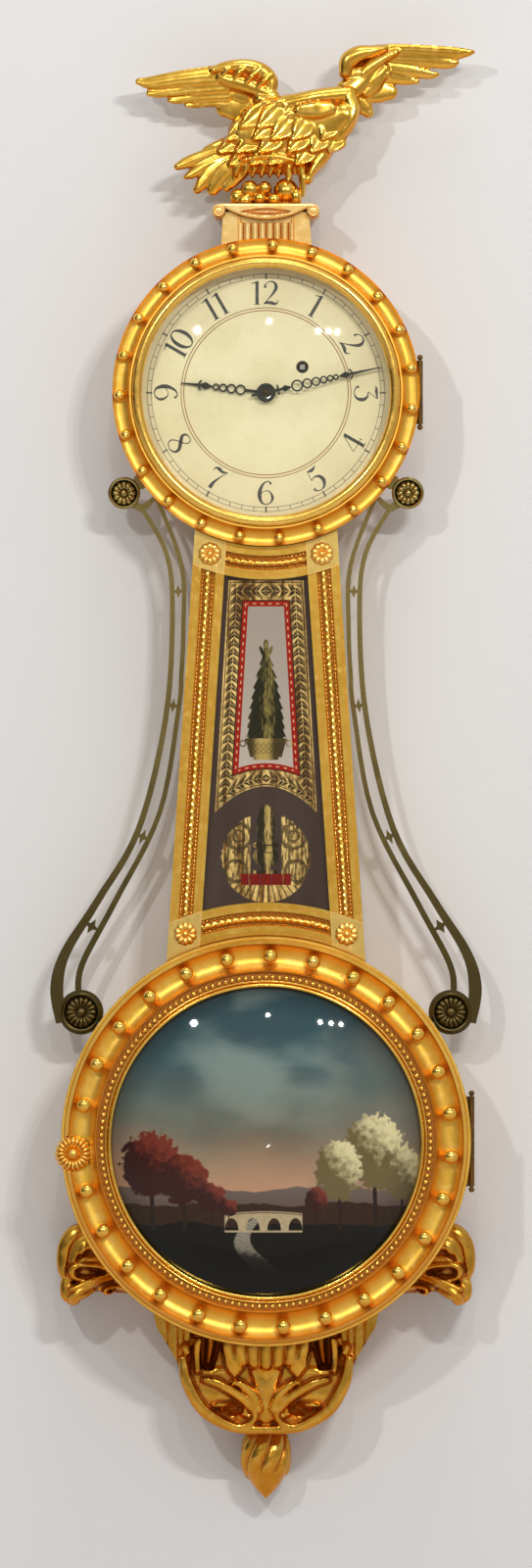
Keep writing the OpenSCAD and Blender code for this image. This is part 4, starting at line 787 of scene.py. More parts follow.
def winding_finish():
    """Brass barrel with a steel winding square."""
    paint = Paint("barrel_finish")
    _, _, d = paint.place()
    fine = paint.grain(2.4, 3)
    square, _ = from_centre(paint, HEAD_U + WINDING_V, WINDING_X)
    steel = square.under(4.2, 0.1) * d.over(44, 0.3)
    brass = paint.mix(fine.over(0.55, 0.15) * 0.4, rgb(216, 176, 96), rgb(150, 108, 52))
    colour = paint.mix(steel, brass, paint.mix(fine, rgb(176, 176, 170), rgb(132, 128, 120)))
    return paint.finish(colour, 0.3 + fine * 0.1, 1.0, paint.bump(fine, 0.08))


def clear_glass(name):
    """Thin old window glass: what is behind shows unbent, with a soft shine on the face."""
    paint = Paint(name)
    waves = paint.grain(45, 1)
    relief = paint.bump(waves, 0.25)
    through = paint.node("BsdfTransparent", None, {"Color": (0.985, 0.985, 0.97, 1)})
    shine = paint.node("BsdfGlossy", None, {"Color": (1, 1, 1, 1), "Roughness": 0.035, "Normal": relief})
    fresnel = Amount(paint, paint.node("Fresnel", None, {"IOR": 1.45}).outputs[0])
    outside = 1 - Amount(paint, paint.node("NewGeometry").outputs["Backfacing"])
    both = paint.node("MixShader", None,
                      {0: fresnel * outside * 0.9, 1: through.outputs[0], 2: shine.outputs[0]})
    paint.close(both.outputs[0])
    return paint.material


dial_paint = dial_finish()
window_glass = clear_glass("window_glass")


def throat_tablet():
    """Painted glass: gold borders of leaves round a red frame, a grey panel with a bush in a bronze urn,
    and a gold roundel with a covered urn below, all on dark brown."""
    paint = Paint("throat_tablet")
    x, u, d = paint.place()
    v = u - HEAD_U
    fine, specks, broad = paint.grain(3.2, 3), paint.grain(0.9, 2), paint.grain(26, 2, (1.6, 1, 0.35))
    side = abs(x)
    colour = paint.mix(broad, rgb(56, 44, 38), rgb(78, 64, 56))
    streaks = paint.grain(5.5, 3, (1.5, 1, 0.05))
    bright = (broad * 0.4 + fine * 0.3 + streaks * 0.75).over(0.74, 0.16)
    gold = paint.mix(bright, rgb(112, 78, 30), rgb(236, 202, 124))
    shadow = rgb(46, 32, 20)

    def chevrons(along, across):
        """Pointed leaves in a row, dark on gold, across mm from their stem."""
        at = (along + abs(across) * 0.9) / 7 % 1
        leaf = (0.74 - abs(across) * 0.075 - abs(at - 0.45) * 1.4).over(0.12, 0.1)
        rib = abs(across).under(0.35, 0.2).most((at - 0.45).near(0, 0.05, 0.04))
        return leaf * (1 - rib * 0.7)

    # Gold border: a thin line, a dark line, then leaves; its lower edge is an arc
    half = 30 - (v + 150.7) * 0.059
    low = v + 315.9 + side * side * 0.01255
    in_side, in_top = half - side, -(v + 150.7)
    in_gold = in_side.least(in_top).least(low)
    on_side = (in_top - in_side).over(0, 0.1) * (low - in_side).over(0, 0.1)
    leaves = chevrons(v, in_side - 7.2) * on_side
    leaves = leaves.most(chevrons(side + 1, in_top - 8.4) * (1 - on_side) * v.over(-180, 0.5))
    leaves = leaves.most(chevrons(side + 2, low - 6.5) * (1 - on_side) * v.under(-300, 0.5))
    colour = paint.mix(in_gold.over(0, 0.25), colour, gold)
    colour = paint.mix(in_gold.near(1.5, 0.4, 0.2).most(leaves * in_gold.over(2.4, 0.2)), colour, shadow)
    # Red frame with pale marks, round the grey panel
    arch = v + 307 - (1 - side * side / 713) * 5.4
    edge = 18.4 - (v + 167.2) * 0.0594
    red_frame = (edge - side).least(-(v + 167.2)).least(arch)
    colour = paint.mix(red_frame.over(-1.0, 0.25), colour, shadow)
    colour = paint.mix(red_frame.over(0, 0.25), colour, paint.mix(fine, rgb(168, 34, 14), rgb(126, 20, 10)))
    upright = (edge - side).under(4.2, 0.1)
    mark = abs(v / 6.2 % 1 - 0.5).under(0.2, 0.05) * upright
    mark = mark.most(abs(side / 6.2 % 1 - 0.5).under(0.2, 0.05) * (1 - upright))
    colour = paint.mix(red_frame.near(2.1, 0.42, 0.25) * mark * 0.8, colour, rgb(232, 190, 140))
    panel_zone = red_frame.over(4.3, 0.25)
    ground = paint.mix((v + 300).over(0, 130), rgb(204, 190, 176), rgb(158, 146, 132))
    colour = paint.mix(panel_zone, colour, paint.mix(broad * 0.3, ground, rgb(170, 156, 140)))

    def blob(at_x, at_v, wide, high, turn=0.0):
        c, s = math.cos(math.radians(turn)), math.sin(math.radians(turn))
        a = ((side - at_x) * c + (v - at_v) * s) / wide
        b = ((v - at_v) * c - (side - at_x) * s) / high
        return (a * a + b * b).under(1.0, 0.16)

    # A tall bush of pointed leaves
    up = (v + 277) / 72
    scallop = abs((v + side * 1.2) / 6.5 % 1 - 0.5) * 4
    bush = (1 - up) * (1 + up * 0.7) * 14.5 + 1.5 - side - scallop + (fine - 0.5) * 3
    bush = bush.over(0, 0.4) * v.over(-279, 0.3)
    strands = paint.grain(2.6, 3, (1.5, 1, 0.3))
    veins = abs((v + side * 1.2) / 6.5 % 1 - 0.5).under(0.07, 0.05)
    sheen = (strands * 0.8 + (x * 0.32 + 1).sine() * 0.14).over(0.5, 0.14)
    olive = paint.mix(sheen, rgb(40, 38, 20), rgb(132, 118, 62))
    olive = paint.mix(veins * 0.7, olive, rgb(26, 24, 14))
    sprigs = blob(0, -203, 2.2, 5).most(blob(3, -208, 1.5, 5, -24)).most(blob(0, -214, 3.4, 5))
    colour = paint.mix(bush.most(sprigs), colour, olive)
    # Its urn, with a lattice and two rings
    urn = (16.2 + (v + 279) * 0.26 - side).over(0, 0.3) * v.within(-292.5, -278, 0.3)
    urn = urn.most(v.near(-278.5, 1.1, 0.2) * side.under(17, 0.3))
    urn = urn.most(v.near(-293.4, 1.3, 0.2) * side.under(10, 0.3))
    rings = ((side - 18.6) * (side - 18.6) + (v + 281.5) * (v + 281.5)).root().near(2.3, 0.5, 0.2)
    lattice = ((side + v) / 4.2 % 1 - 0.5).near(0, 0.1, 0.06)
    lattice = lattice.most(((side - v) / 4.2 % 1 - 0.5).near(0, 0.1, 0.06))
    bronze = paint.mix((x * 0.24 + 2.1).sine().over(0.1, 0.8), rgb(70, 58, 28), rgb(172, 146, 82))
    colour = paint.mix(urn.most(rings), colour, bronze)
    colour = paint.mix(urn * lattice * v.within(-290, -281, 0.3) * 0.7, colour, rgb(52, 42, 20))
    # Gold roundel: broken scrolls at the sides, a covered urn in the middle, a red band
    ring, bearing = from_centre(paint, HEAD_U - 373.0)
    drift_v = (fine - 0.5) * 6
    upper = ((side - 22) * (side - 22) + (v - drift_v + 356) * (v - drift_v + 356)).root()
    under = ((side - 24) * (side - 24) + (v - drift_v + 384) * (v - drift_v + 384)).root()
    scrolls = (ring + (fine - 0.5) * 5).under(35.5, 0.5) * side.over(12.5, 0.5)
    dark = upper.near(10, 1.6, 0.7).most(under.near(8.5, 1.5, 0.7)).most(upper.near(4.4, 1.2, 0.6))
    dark = dark.most((strands + fine * 0.3).over(0.68, 0.06)).most(side.near(18.5, 0.7, 0.4))
    colour = paint.mix(scrolls, colour, paint.mix(dark * 0.85, gold, shadow))
    foot = ring.under(36, 0.4) * v.under(-395, 0.4)
    lobes = abs((bearing * 7) % 1 - 0.5).under(0.14, 0.06)
    colour = paint.mix(foot, colour, paint.mix(lobes * 0.8, gold, shadow))
    flame = blob(0, -347, 7.2, 16).most(blob(3.5, -352, 4.5, 11, -12))
    flame = flame * (side - (fine - 0.5) * 5).under(7.4, 0.5)
    cover = flame.most(blob(0, -363, 10.5, 3.6)).most(blob(0, -372, 10, 8.6))
    cover = cover.most(blob(0, -382, 4, 4)).most(v.near(-385, 1.6, 0.3) * side.under(10, 0.3))
    light = (strands * 0.9 + (x * 0.5 + 0.6).sine() * 0.2).over(0.55, 0.16)
    colour = paint.mix(cover, colour, paint.mix(light, rgb(44, 40, 22), rgb(186, 158, 92)))
    colour = paint.mix(cover * v.near(-363, 0.5, 0.3).most(v.near(-369, 0.4, 0.3)), colour, shadow)
    band = v.near(-390.5, 4.5, 0.4) * side.under(20, 0.4) * (1 - abs(x / 9 % 1 - 0.5).under(0.06, 0.04) * 0.5)
    colour = paint.mix(band, colour, paint.mix(fine, rgb(136, 26, 14), rgb(92, 17, 11)))
    worn = (specks * 0.5 + fine * 0.5).over(0.66, 0.05)
    colour = paint.mix(worn * 0.35, colour, rgb(104, 84, 62))
    colour = paint.mix(d.under(68.6, 0.3), colour, rgb(60, 48, 40))
    return paint.finish(colour, 0.5, 0.0, None, Specular_IOR_Level=0.0, Coat_Weight=0.6, Coat_Roughness=0.03)


def lower_tablet():
    """Painted glass: an evening landscape of rolling hills, a river with an arched bridge, and trees."""
    paint = Paint("lower_tablet")
    x, u, d = paint.place()
    v = u - LOWER_U
    fine, leaves = paint.grain(3.0, 3), paint.grain(4.6, 3)
    clouds, drift = paint.grain(42, 3, (0.55, 1, 1.1), 0.42), paint.grain(88, 2, (0.7, 1, 1))
    along = paint.node("CombineXYZ", None, {0: x.socket, 1: 0.0, 2: 0.0}).outputs[0]

    def ridge(size, high, shift):
        at = paint.node("VectorMath", {"operation": "MULTIPLY"}, {0: along, 1: (1 / size, 1, 1)}).outputs[0]
        at = paint.node("VectorMath", {"operation": "ADD"}, {0: at, 1: (shift, shift, 0)}).outputs[0]
        noise = paint.node("TexNoise", None, {"Vector": at, "Scale": 1.0, "Detail": 3.0, "Roughness": 0.45})
        return (Amount(paint, noise.outputs[0]) - 0.5) * (2 * high)

    # Sky: dark teal above, a pale break in the clouds, and a warm glow over the hills
    rise = (v + 45) / 170
    colour = paint.mix(rise.over(0.42, 0.5), rgb(104, 132, 130), rgb(44, 72, 78))
    pale = ((clouds * 0.8 + drift * 0.5) - abs(x + v * 0.2) / 260 - abs(v - 42) / 330).over(0.42, 0.16)
    colour = paint.mix(pale * 0.7, colour, rgb(132, 148, 140))
    colour = paint.mix((clouds * 0.9 + drift * 0.2).under(0.46, 0.1) * 0.5, colour, rgb(58, 76, 80))
    glow = (v + 44 + drift * 46 - abs(x - 8) * 0.12).under(44, 30)
    haze = (v + 44 + drift * 40 - abs(x + 6) * 0.1).under(86, 44)
    colour = paint.mix(haze * 0.6, colour, rgb(122, 100, 66))
    colour = paint.mix(glow * 0.75, colour, rgb(200, 146, 110))
    dusk = (drift * 0.7 + clouds * 0.5 + (x - v * 0.3) / 400).over(0.74, 0.12)
    colour = paint.mix(dusk * 0.5, colour, rgb(120, 112, 96))
    colour = paint.mix((v + 52).under(6, 14) * 0.7, colour, rgb(216, 116, 66))
    # Far hills, then nearer ones
    far = v - (ridge(60, 12, 1.3) - 36)
    far_tone = paint.mix((v + 60).over(10, 22), rgb(86, 60, 50), rgb(104, 92, 84))
    colour = paint.mix(far.under(0, 0.5), colour, far_tone)
    near = v - (ridge(44, 11, 7.7) - 50)
    colour = paint.mix(near.under(0, 0.5), colour, paint.mix(fine, rgb(62, 38, 22), rgb(36, 24, 15)))
    # River that winds down between dark banks
    bend = ((v + 60) * 0.085).sine() * 13 - 6
    wide = 3 + (-v - 58) * 0.16
    stream = (wide - abs(x - bend)).over(0, 0.8) * v.within(-112, -60, 1)
    bank = v - (ridge(38, 7, 3.1) - 66)
    colour = paint.mix(bank.under(0, 0.6), colour, paint.mix(fine, rgb(26, 18, 10), rgb(12, 10, 6)))
    ripples = ((v * 0.9 + fine * 3) % 1).over(0.55, 0.3)
    water = paint.mix(ripples, rgb(96, 98, 92), rgb(190, 176, 150))
    colour = paint.mix(stream * (v + 112).over(20, 20) * 0.8, colour, water)
    # Bridge of three arches
    arch = abs((x + 2) % 17 - 8.5)
    opening = (arch * arch / 30 + (v + 70) * (v + 70) / 90).under(1.0, 0.1) * v.over(-70.5, 0.3)
    deck = v + 55 + x * x / 480
    bridge = deck.under(0, 0.3) * v.over(-72, 0.3) * abs(x + 2).under(31, 0.4) * (1 - opening)
    colour = paint.mix(bridge, colour, paint.mix(fine, rgb(196, 176, 138), rgb(150, 130, 98)))
    colour = paint.mix(bridge * deck.near(-1.2, 0.5, 0.2) * 0.8, colour, rgb(84, 60, 40))

    # Trees in rounded masses of leaves: russet on the left, pale gold on the right
    def tree(colour, at_x, at_v, wide, high, dark, light):
        a, b = (x - at_x) / wide, (v - at_v) / high
        crown = (a * a + b * b + (leaves - 0.5) * 1.5).under(1.0, 0.12)
        trunk = abs(x - at_x + (v - at_v) * 0.03).under(wide * 0.07, 0.3)
        trunk = trunk * v.within(at_v - high * 2.0, at_v, 0.5)
        colour = paint.mix(trunk, colour, rgb(40, 26, 18))
        shade = (a * 0.4 + b * 0.45 + leaves * 0.9 - 0.3).over(0.35, 0.35)
        return paint.mix(crown, colour, paint.mix(shade, dark, light))

    russet, gold = (rgb(52, 22, 18), rgb(116, 50, 36)), (rgb(104, 90, 56), rgb(212, 200, 152))
    for at_x, at_v, wide, high, (dark, light) in [
            (-92, -18, 24, 26, russet), (-66, -30, 20, 20, russet), (-44, -44, 12, 12, russet),
            (-30, -52, 7, 7, russet), (86, -8, 24, 30, gold), (58, -22, 18, 24, gold),
            (108, -24, 16, 22, gold), (40, -46, 9, 10, russet)]:
        colour = tree(colour, at_x, at_v, wide, high, dark, light)
    # Dark foreground with grasses
    tufts = paint.grain(2.6, 3, (1.4, 1, 0.25))
    ground = v + 92 + (leaves - 0.5) * 10 - abs(x) * 0.2
    grass = paint.mix(tufts.over(0.55, 0.15), rgb(4, 3, 2), rgb(18, 13, 6))
    colour = paint.mix(ground.under(0, 3.0) * 0.9, colour, grass)
    r, _ = from_centre(paint, LOWER_U)
    colour = paint.mix(r.over(112, 14) * 0.5, colour, rgb(24, 24, 22))
    colour = paint.mix(d.under(99.0, 0.2), colour, rgb(54, 50, 46))
    return paint.finish(colour, 0.5, 0.0, None,
                        Specular_IOR_Level=0.0, Coat_Weight=0.45, Coat_Roughness=0.025)


FINISHES = {
    case_gilt: ["head_case", "lower_case"],
    bezel_gilt: ["head_bezel"],
    door_gilt: ["lower_door"],
    throat_gilt: ["throat_case", "throat_frame"],
    ball_gilt: ["bezel_balls", "door_balls"],
    sight_brass: ["sight_ring"],
    hinge_brass: ["case_hinge_leaves", "bezel_hinge_leaf", "door_hinge_leaf", "hinge_pins", "strike_plate",
                  "latch_tongue"],
    arm_bronze: ["left_side_arm", "right_side_arm"],
    winding_finish(): ["barrel"],
    clock_brass: ["movement_plates", "plate_pillars", "great_wheel", "centre_wheel", "third_wheel",
                  "escape_wheel", "cannon_pinion", "motion_wheel", "hour_wheel", "suspension_bridge",
                  "pendulum_bob", "weight_pulley"],
    dark_bronze: ["hand_nut"],
    blue_steel: ["minute_hand", "hour_hand", "click", "anchor"],
    plain_steel: ["screws"],
    sheet_iron_finish: ["weight_baffle", "hanger_plate"],
    cast_iron_finish: ["weight"],
    dial_paint: ["dial"],
    window_glass: ["head_glass"],
    throat_tablet(): ["throat_glass"],
    lower_tablet(): ["tablet_glass"],
}
for finish, nodes in FINISHES.items():
    for node in nodes:
        dress(node, finish)


def ink():
    """Dark paint of the numerals, thin in places."""
    paint = Paint("ink_paint")
    fine = paint.grain(2.2, 3)
    return paint.finish(paint.mix(fine.over(0.6, 0.12) * 0.6, rgb(58, 58, 52), rgb(104, 102, 88)), 0.5)


def rod_wood():
    paint = Paint("rod_wood")
    colour, rough, pores = bare_wood(paint)
    return paint.finish(colour, rough, 0.0, paint.bump(pores, 0.1))


ink_paint = ink()
dress("pendulum_rod", rod_wood())


# Carvings. Most strokes were read off enlarged crops of the photograph. Their points are across, down
# and half width in pixels of the crop, then a depth in mm. A crop is the place of its left and top edges, in
# mm from the centre of the head or of the lower door, and the mm that one of its pixels covers. In the
# photograph's own 543 x 1600 pixels the crops' corners are 125, 35; 175, 80; 160, 1325 and 380, 1230
WING_CROP = (-115.0, 286.5, 0.1878)
BODY_CROP = (-75.75, 251.2, 0.10013)
BRACKET_CROP = (-87.53, -126.4, 0.11263)
LEAF_CROP = (84.9, -51.8, 0.0601)


def read_off(crop, strokes):
    """The strokes in mm, to a tenth."""
    left, top, step = crop
    return [([(round(left + a * step, 1), round(top - b * step, 1), round(half * step, 1), depth)
              for a, b, half, depth in points], form) for points, form in strokes]


QUILL = dict(rise=1.8, square=4, tilt=-0.7, keel=0.3)
LEFT_WING = read_off(WING_CROP, [
    ([(560, 300, 58, 41.5), (490, 303, 56, 41), (436, 300, 38, 40.5)], dict(rise=3.0, square=2.6)),
    ([(450, 268, 30, 41.5), (370, 272, 23.5, 41.5), (310, 282, 18, 41), (272, 288, 10, 40.5)], QUILL),
    ([(450, 236, 32, 42.5), (330, 246, 27.5, 42.2), (232, 262, 21.5, 41.5), (200, 266, 11.5, 41)], QUILL),
    ([(440, 200, 34, 43.5), (270, 215, 30.5, 43), (155, 232, 25, 42.5), (112, 236, 14, 42)], QUILL),
    ([(430, 155.5, 42, 44.5), (250, 174, 35, 44), (120, 192, 26.5, 43.5), (66, 187, 14, 43)], QUILL),
    ([(640, 250, 30, 47), (560, 215, 36, 46), (480, 190, 34, 45.5), (420, 170, 26, 44)],
     dict(rise=5.0, square=2.2)),
    ([(520, 250, 34, 43), (470, 235, 30, 42.5), (430, 225, 20, 42)], dict(rise=2.0, square=2.2)),
    ([(700, 300, 44, 48), (650, 285, 40, 48), (590, 262, 30, 46)], dict(rise=6.0, square=2.2)),
])
# The left wing's shoulder and the short feathers along it, given in mm
LEFT_WING += [
    ([(-38, 256, 5, 44.5), (-22, 256.5, 7, 45), (-8, 252, 8, 45.5), (1, 245, 6, 46)],
     dict(rise=1.5, square=2.2)),
    ([(-42, 260.5, 3.4, 45), (-30, 263.2, 4.8, 45.5), (-16, 263.6, 5.6, 46), (-4, 259.8, 6.4, 46),
      (3.0, 252.0, 6.6, 46), (3.4, 243.5, 5.0, 46)], dict(rise=5.4, square=2.2)),
    ([(-36, 255.6, 1.6, 47), (-31, 260.4, 2.2, 49.4), (-27, 264.4, 1.4, 48.4)], dict(rise=2.0, square=2.2)),
    ([(-27, 252.6, 1.8, 48), (-21, 258.4, 2.6, 50), (-15, 264.6, 1.6, 49)], dict(rise=2.2, square=2.2)),
    ([(-17, 249.6, 1.8, 49), (-11, 255.6, 2.6, 51), (-4, 262.2, 1.6, 49.6)], dict(rise=2.2, square=2.2)),
    ([(-7, 246.6, 1.8, 49.6), (-1, 252.0, 2.6, 51.4), (5.6, 257.0, 1.4, 49)], dict(rise=2.2, square=2.2)),
]
RIGHT_WING = read_off(WING_CROP, [
    ([(1060, 230, 50, 42), (1110, 228, 48, 41), (1140, 230, 36, 40.5)], dict(rise=3.0, square=2.6)),
    ([(1010, 270, 34, 42), (1040, 305, 34, 41), (1050, 318, 24, 40.5)], dict(rise=3.0, square=2.6)),
    ([(1120, 168, 24, 43), (1200, 180, 22, 42), (1262, 188, 9, 41)], QUILL),
    ([(1120, 135, 28, 43.5), (1230, 146, 24, 43), (1315, 157, 19, 42), (1348, 156, 8, 41.5)], QUILL),
    ([(1130, 92, 30, 44), (1290, 103, 26, 43.5), (1400, 112, 20, 43), (1432, 106, 9, 42.5)], QUILL),
    ([(1080, 60, 30, 45), (1200, 56, 29, 45), (1400, 66, 28, 44), (1470, 64, 18, 43.5), (1500, 60, 8, 43)],
     QUILL),
    ([(960, 230, 50, 48), (1010, 190, 44, 46), (1050, 150, 36, 45), (1090, 110, 26, 44.5)],
     dict(rise=5.0, square=2.2)),
    ([(1040, 230, 26, 45), (1075, 200, 30, 45), (1100, 165, 26, 45), (1130, 150, 18, 44.5)],
     dict(rise=3.6, square=2.2, tilt=0.7)),
    ([(1060, 190, 22, 46), (1090, 160, 26, 46), (1120, 130, 20, 45.5)], dict(rise=3.4, square=2.2, tilt=0.7)),
    ([(1030, 150, 24, 47), (1070, 115, 28, 47), (1120, 85, 22, 46.5), (1170, 62, 14, 46)],
     dict(rise=4.4, square=2.2, tilt=0.7)),
    ([(950, 150, 26, 48), (965, 100, 36, 49), (1010, 72, 36, 49), (1070, 58, 24, 48), (1120, 48, 14, 46)],
     dict(rise=6.5, square=2.2)),
    ([(985, 165, 34, 47), (1010, 150, 30, 47), (1050, 130, 20, 46)], dict(rise=3.5, square=2.2)),
])


def breast_depth(x, v):
    return 67 - ((x - 24.4) / 50) ** 2 * 8 - ((v - 215) / 30) ** 2 * 6


def breast_feathers():
    """Overlapping feathers that point down and to the left, below the smooth top of the breast."""
    strokes = []
    for row in range(4):
        v = 222 - 10 * row
        for step in range(6):
            x = 58 - 17 * step - 9 * (row % 2) + 3 * math.sin(2.6 * row + 1.7 * step)
            if ((x - 14) / 42) ** 2 + ((v - 205) / 21) ** 2 < 1 and not (x > 20 and v > 214):
                d = breast_depth(x, v)
                lean = 4 + 0.07 * (40 - x)
                line = [(x + lean, v + 7, 7, d - 4), (x, v, 9, d - 1.6),
                        (x - 1.4 * lean, v - 7.6, 2.4, d + 0.4)]
                strokes.append((line, dict(rise=3.4, square=3.2, hollow=2.0)))
    return strokes


# Tail, trunk, neck and legs of the eagle
EAGLE_BODY = read_off(BODY_CROP, [
    ([(560, 440, 40, 50), (400, 500, 38, 49), (265, 545, 18, 48)], dict(rise=2.2, square=2.6)),
    ([(580, 520, 45, 51), (330, 580, 52, 49.5), (130, 650, 48, 48.5), (45, 685, 30, 48)],
     dict(rise=2.6, square=3, keel=0.6)),
    ([(520, 570, 40, 51.5), (330, 650, 46, 50), (170, 740, 40, 49), (110, 770, 20, 48.5)],
     dict(rise=2.6, square=3, keel=0.6)),
    ([(560, 590, 45, 52.5), (400, 660, 52, 51), (270, 790, 56, 49.5), (205, 870, 36, 49)],
     dict(rise=2.8, square=3, keel=0.7)),
    ([(610, 620, 45, 54), (480, 690, 60, 52.5), (380, 800, 66, 50.5), (330, 870, 50, 49.5)],
     dict(rise=2.8, square=3, keel=0.7)),
    ([(650, 650, 45, 55), (580, 720, 50, 54), (500, 800, 45, 52), (440, 855, 34, 51)],
     dict(rise=2.8, square=3, keel=0.7)),
    ([(600, 420, 150, 50), (800, 400, 260, 50), (1050, 380, 280, 51), (1250, 350, 200, 52),
      (1380, 280, 120, 53)],
     dict(rise=14, square=2.4)),
    ([(640, 540, 90, 52), (850, 560, 100, 54), (1050, 560, 110, 54), (1180, 520, 100, 54)],
     dict(rise=9, square=2.4)),
    ([(620, 290, 80, 52), (780, 230, 90, 54), (1000, 170, 70, 56), (1200, 130, 70, 56), (1380, 110, 70, 55)],
     dict(rise=8, square=2.2)),
    ([(1420, 110, 75, 54), (1455, 220, 62, 56), (1430, 330, 52, 57), (1370, 430, 45, 56),
      (1320, 490, 30, 54)],
     dict(rise=9, square=2.2)),
    ([(1280, 480, 60, 55), (1220, 600, 55, 55), (1150, 690, 45, 55), (1110, 760, 30, 55)],
     dict(rise=7, square=2.2)),
    ([(1040, 245, 55, 63), (1160, 240, 68, 65), (1270, 225, 50, 64)], dict(rise=4.5, square=5)),
    ([(560, 640, 18, 60), (700, 615, 20, 62), (830, 612, 20, 62.5), (950, 635, 22, 62), (1040, 665, 30, 61)],
     dict(rise=3, square=2.2)),
    ([(745, 635, 42, 61), (742, 700, 4, 60)], dict(rise=2.4, square=2.4)),
    ([(875, 635, 55, 61.5), (868, 710, 4, 60.5)], dict(rise=2.4, square=2.4)),
    ([(640, 640, 30, 60.5), (636, 690, 4, 59)], dict(rise=2.2, square=2.4)),
    ([(940, 720, 30, 58), (940, 780, 26, 60), (930, 815, 8, 61)], dict(rise=3, square=2.2)),
    ([(1040, 680, 40, 57), (1050, 800, 28, 57), (1045, 900, 26, 56), (1040, 985, 24, 55)],
     dict(rise=4, square=2.2)),
])
# Left half of the bracket: the outer scroll, the leaves beside the capital, the acanthus and its eye's lip
BRACKET_SIDE = read_off(BRACKET_CROP, [
    ([(185, 440, 34, 58), (215, 600, 44, 60), (320, 790, 46, 60), (480, 900, 42, 58), (620, 940, 36, 56),
      (784, 945, 34, 55)], dict(rise=6, square=2.4, hollow=0.8)),
    ([(205, 355, 34, 60), (215, 390, 28, 60)], dict(rise=6, square=2.2)),
    ([(290, 520, 28, 58), (285, 420, 30, 58), (290, 330, 34, 59), (310, 300, 26, 60)],
     dict(rise=7, square=2.4)),
    ([(250, 330, 20, 57), (260, 300, 22, 57), (310, 290, 18, 57)], dict(rise=4, square=2.2)),
    ([(470, 540, 40, 48), (480, 450, 46, 47), (470, 370, 28, 45)], dict(rise=3.5, square=2.4)),
    ([(400, 560, 44, 50), (440, 530, 40, 50), (560, 540, 40, 50)], dict(rise=4, square=2.2)),
    ([(700, 800, 40, 58), (600, 710, 38, 60), (450, 620, 36, 62), (340, 585, 26, 62)],
     dict(rise=6, square=2.4, hollow=1.0)),
    ([(720, 790, 40, 59), (680, 690, 36, 61), (600, 620, 32, 62), (545, 605, 20, 62)],
     dict(rise=6, square=2.4, hollow=0.8)),
    ([(640, 800, 26, 56), (520, 770, 26, 57), (400, 770, 18, 57)], dict(rise=4, square=2.4)),
    ([(660, 850, 22, 55), (600, 820, 26, 55), (460, 800, 16, 55)], dict(rise=3.5, square=2.4)),
    ([(450, 860, 14, 56), (560, 920, 20, 57), (660, 900, 26, 58), (700, 850, 26, 59), (690, 800, 24, 60)],
     dict(rise=4, square=2.4)),
])


def carve_wing(name, strokes, box, node):
    relief = Relief(HEAD_U, *box)
    relief.carve(strokes)
    relief.close(42.5)
    wing = Shape()
    relief.mesh(wing, 37.5)
    wing.make(name, eagle_gilt, "case", (node,))


carve_wing("left_wing_carving", LEFT_WING, (-108, 214, 26, 272), "eagle_left_wing")
carve_wing("right_wing_carving", RIGHT_WING, (52, 220, 170, 284), "eagle_right_wing")


def carve_eagle():
    relief = Relief(HEAD_U, -76, 158, 76, 250)
    relief.lobe([(-22, 183, 6, 52), (2, 183, 7, 54), (26, 182, 6, 54)], rise=2)
    for step in range(7):
        x = -20.7 + 6.9 * step
        relief.lobe([(x, 187, 3.2, 57), (x - 2.5, 181, 3, 57), (x - 4, 174.5, 1.4, 56)], rise=3)
    relief.carve(EAGLE_BODY + breast_feathers())
    # The claw's knuckle, and the beak's line
    relief.mound(33.4, 172.1, 4.4, 4.2, 5, 57)
    relief.gouge([(70.9, 217, 0.8, 62), (67, 210.4, 1.1, 60), (63.2, 204, 0.8, 59)])
    relief.close(53)
    body = Shape()
    relief.mesh(body, 46.1)
    body.make("eagle_carving", eagle_gilt, "case", ("eagle_body",))


carve_eagle()


def perch_rocks():
    relief = Relief(HEAD_U, -32, 150, 32, 172)
    low = 151.7
    for x, v, wide, high, top in [(-23, 158, 6, 6.6, 12), (-13, 164, 7.2, 7, 15), (-5, 156.5, 6, 5, 17),
                                  (-1, 165, 5.6, 5.6, 14), (6.4, 156, 6.4, 5, 16), (-17, 155, 7, 5, 16),
                                  (24, 158, 5, 7.6, 15)]:
        relief.mound(x, v, wide, high, 7, top + 41, 2.4)
    relief.plate([(-29, low), (27, low), (25, low + 8), (6, low + 6), (-6, low + 9), (-27, low + 10.5)], 53.0)
    relief.trim(relief.u - (low + HEAD_U))
    rocks = Shape()
    relief.mesh(rocks, 26.0)
    ball(rocks, 16, 163 + HEAD_U, 52, 10, 18, 28)
    rocks.make("perch_rocks", eagle_gilt, "case", ("eagle_perch",))


perch_rocks()


# Plinth with a reeded panel, and its cap with rolled ends
PLINTH_TOP = 151.5
CAP_SAG = 64.8
ROLL_X = 38
ROLL_U = HEAD_U + PLINTH_TOP - 5.6


def cap_underside(x):
    return HEAD_U + PLINTH_TOP - 12.6 + CAP_SAG - np.sqrt(CAP_SAG ** 2 - x ** 2)


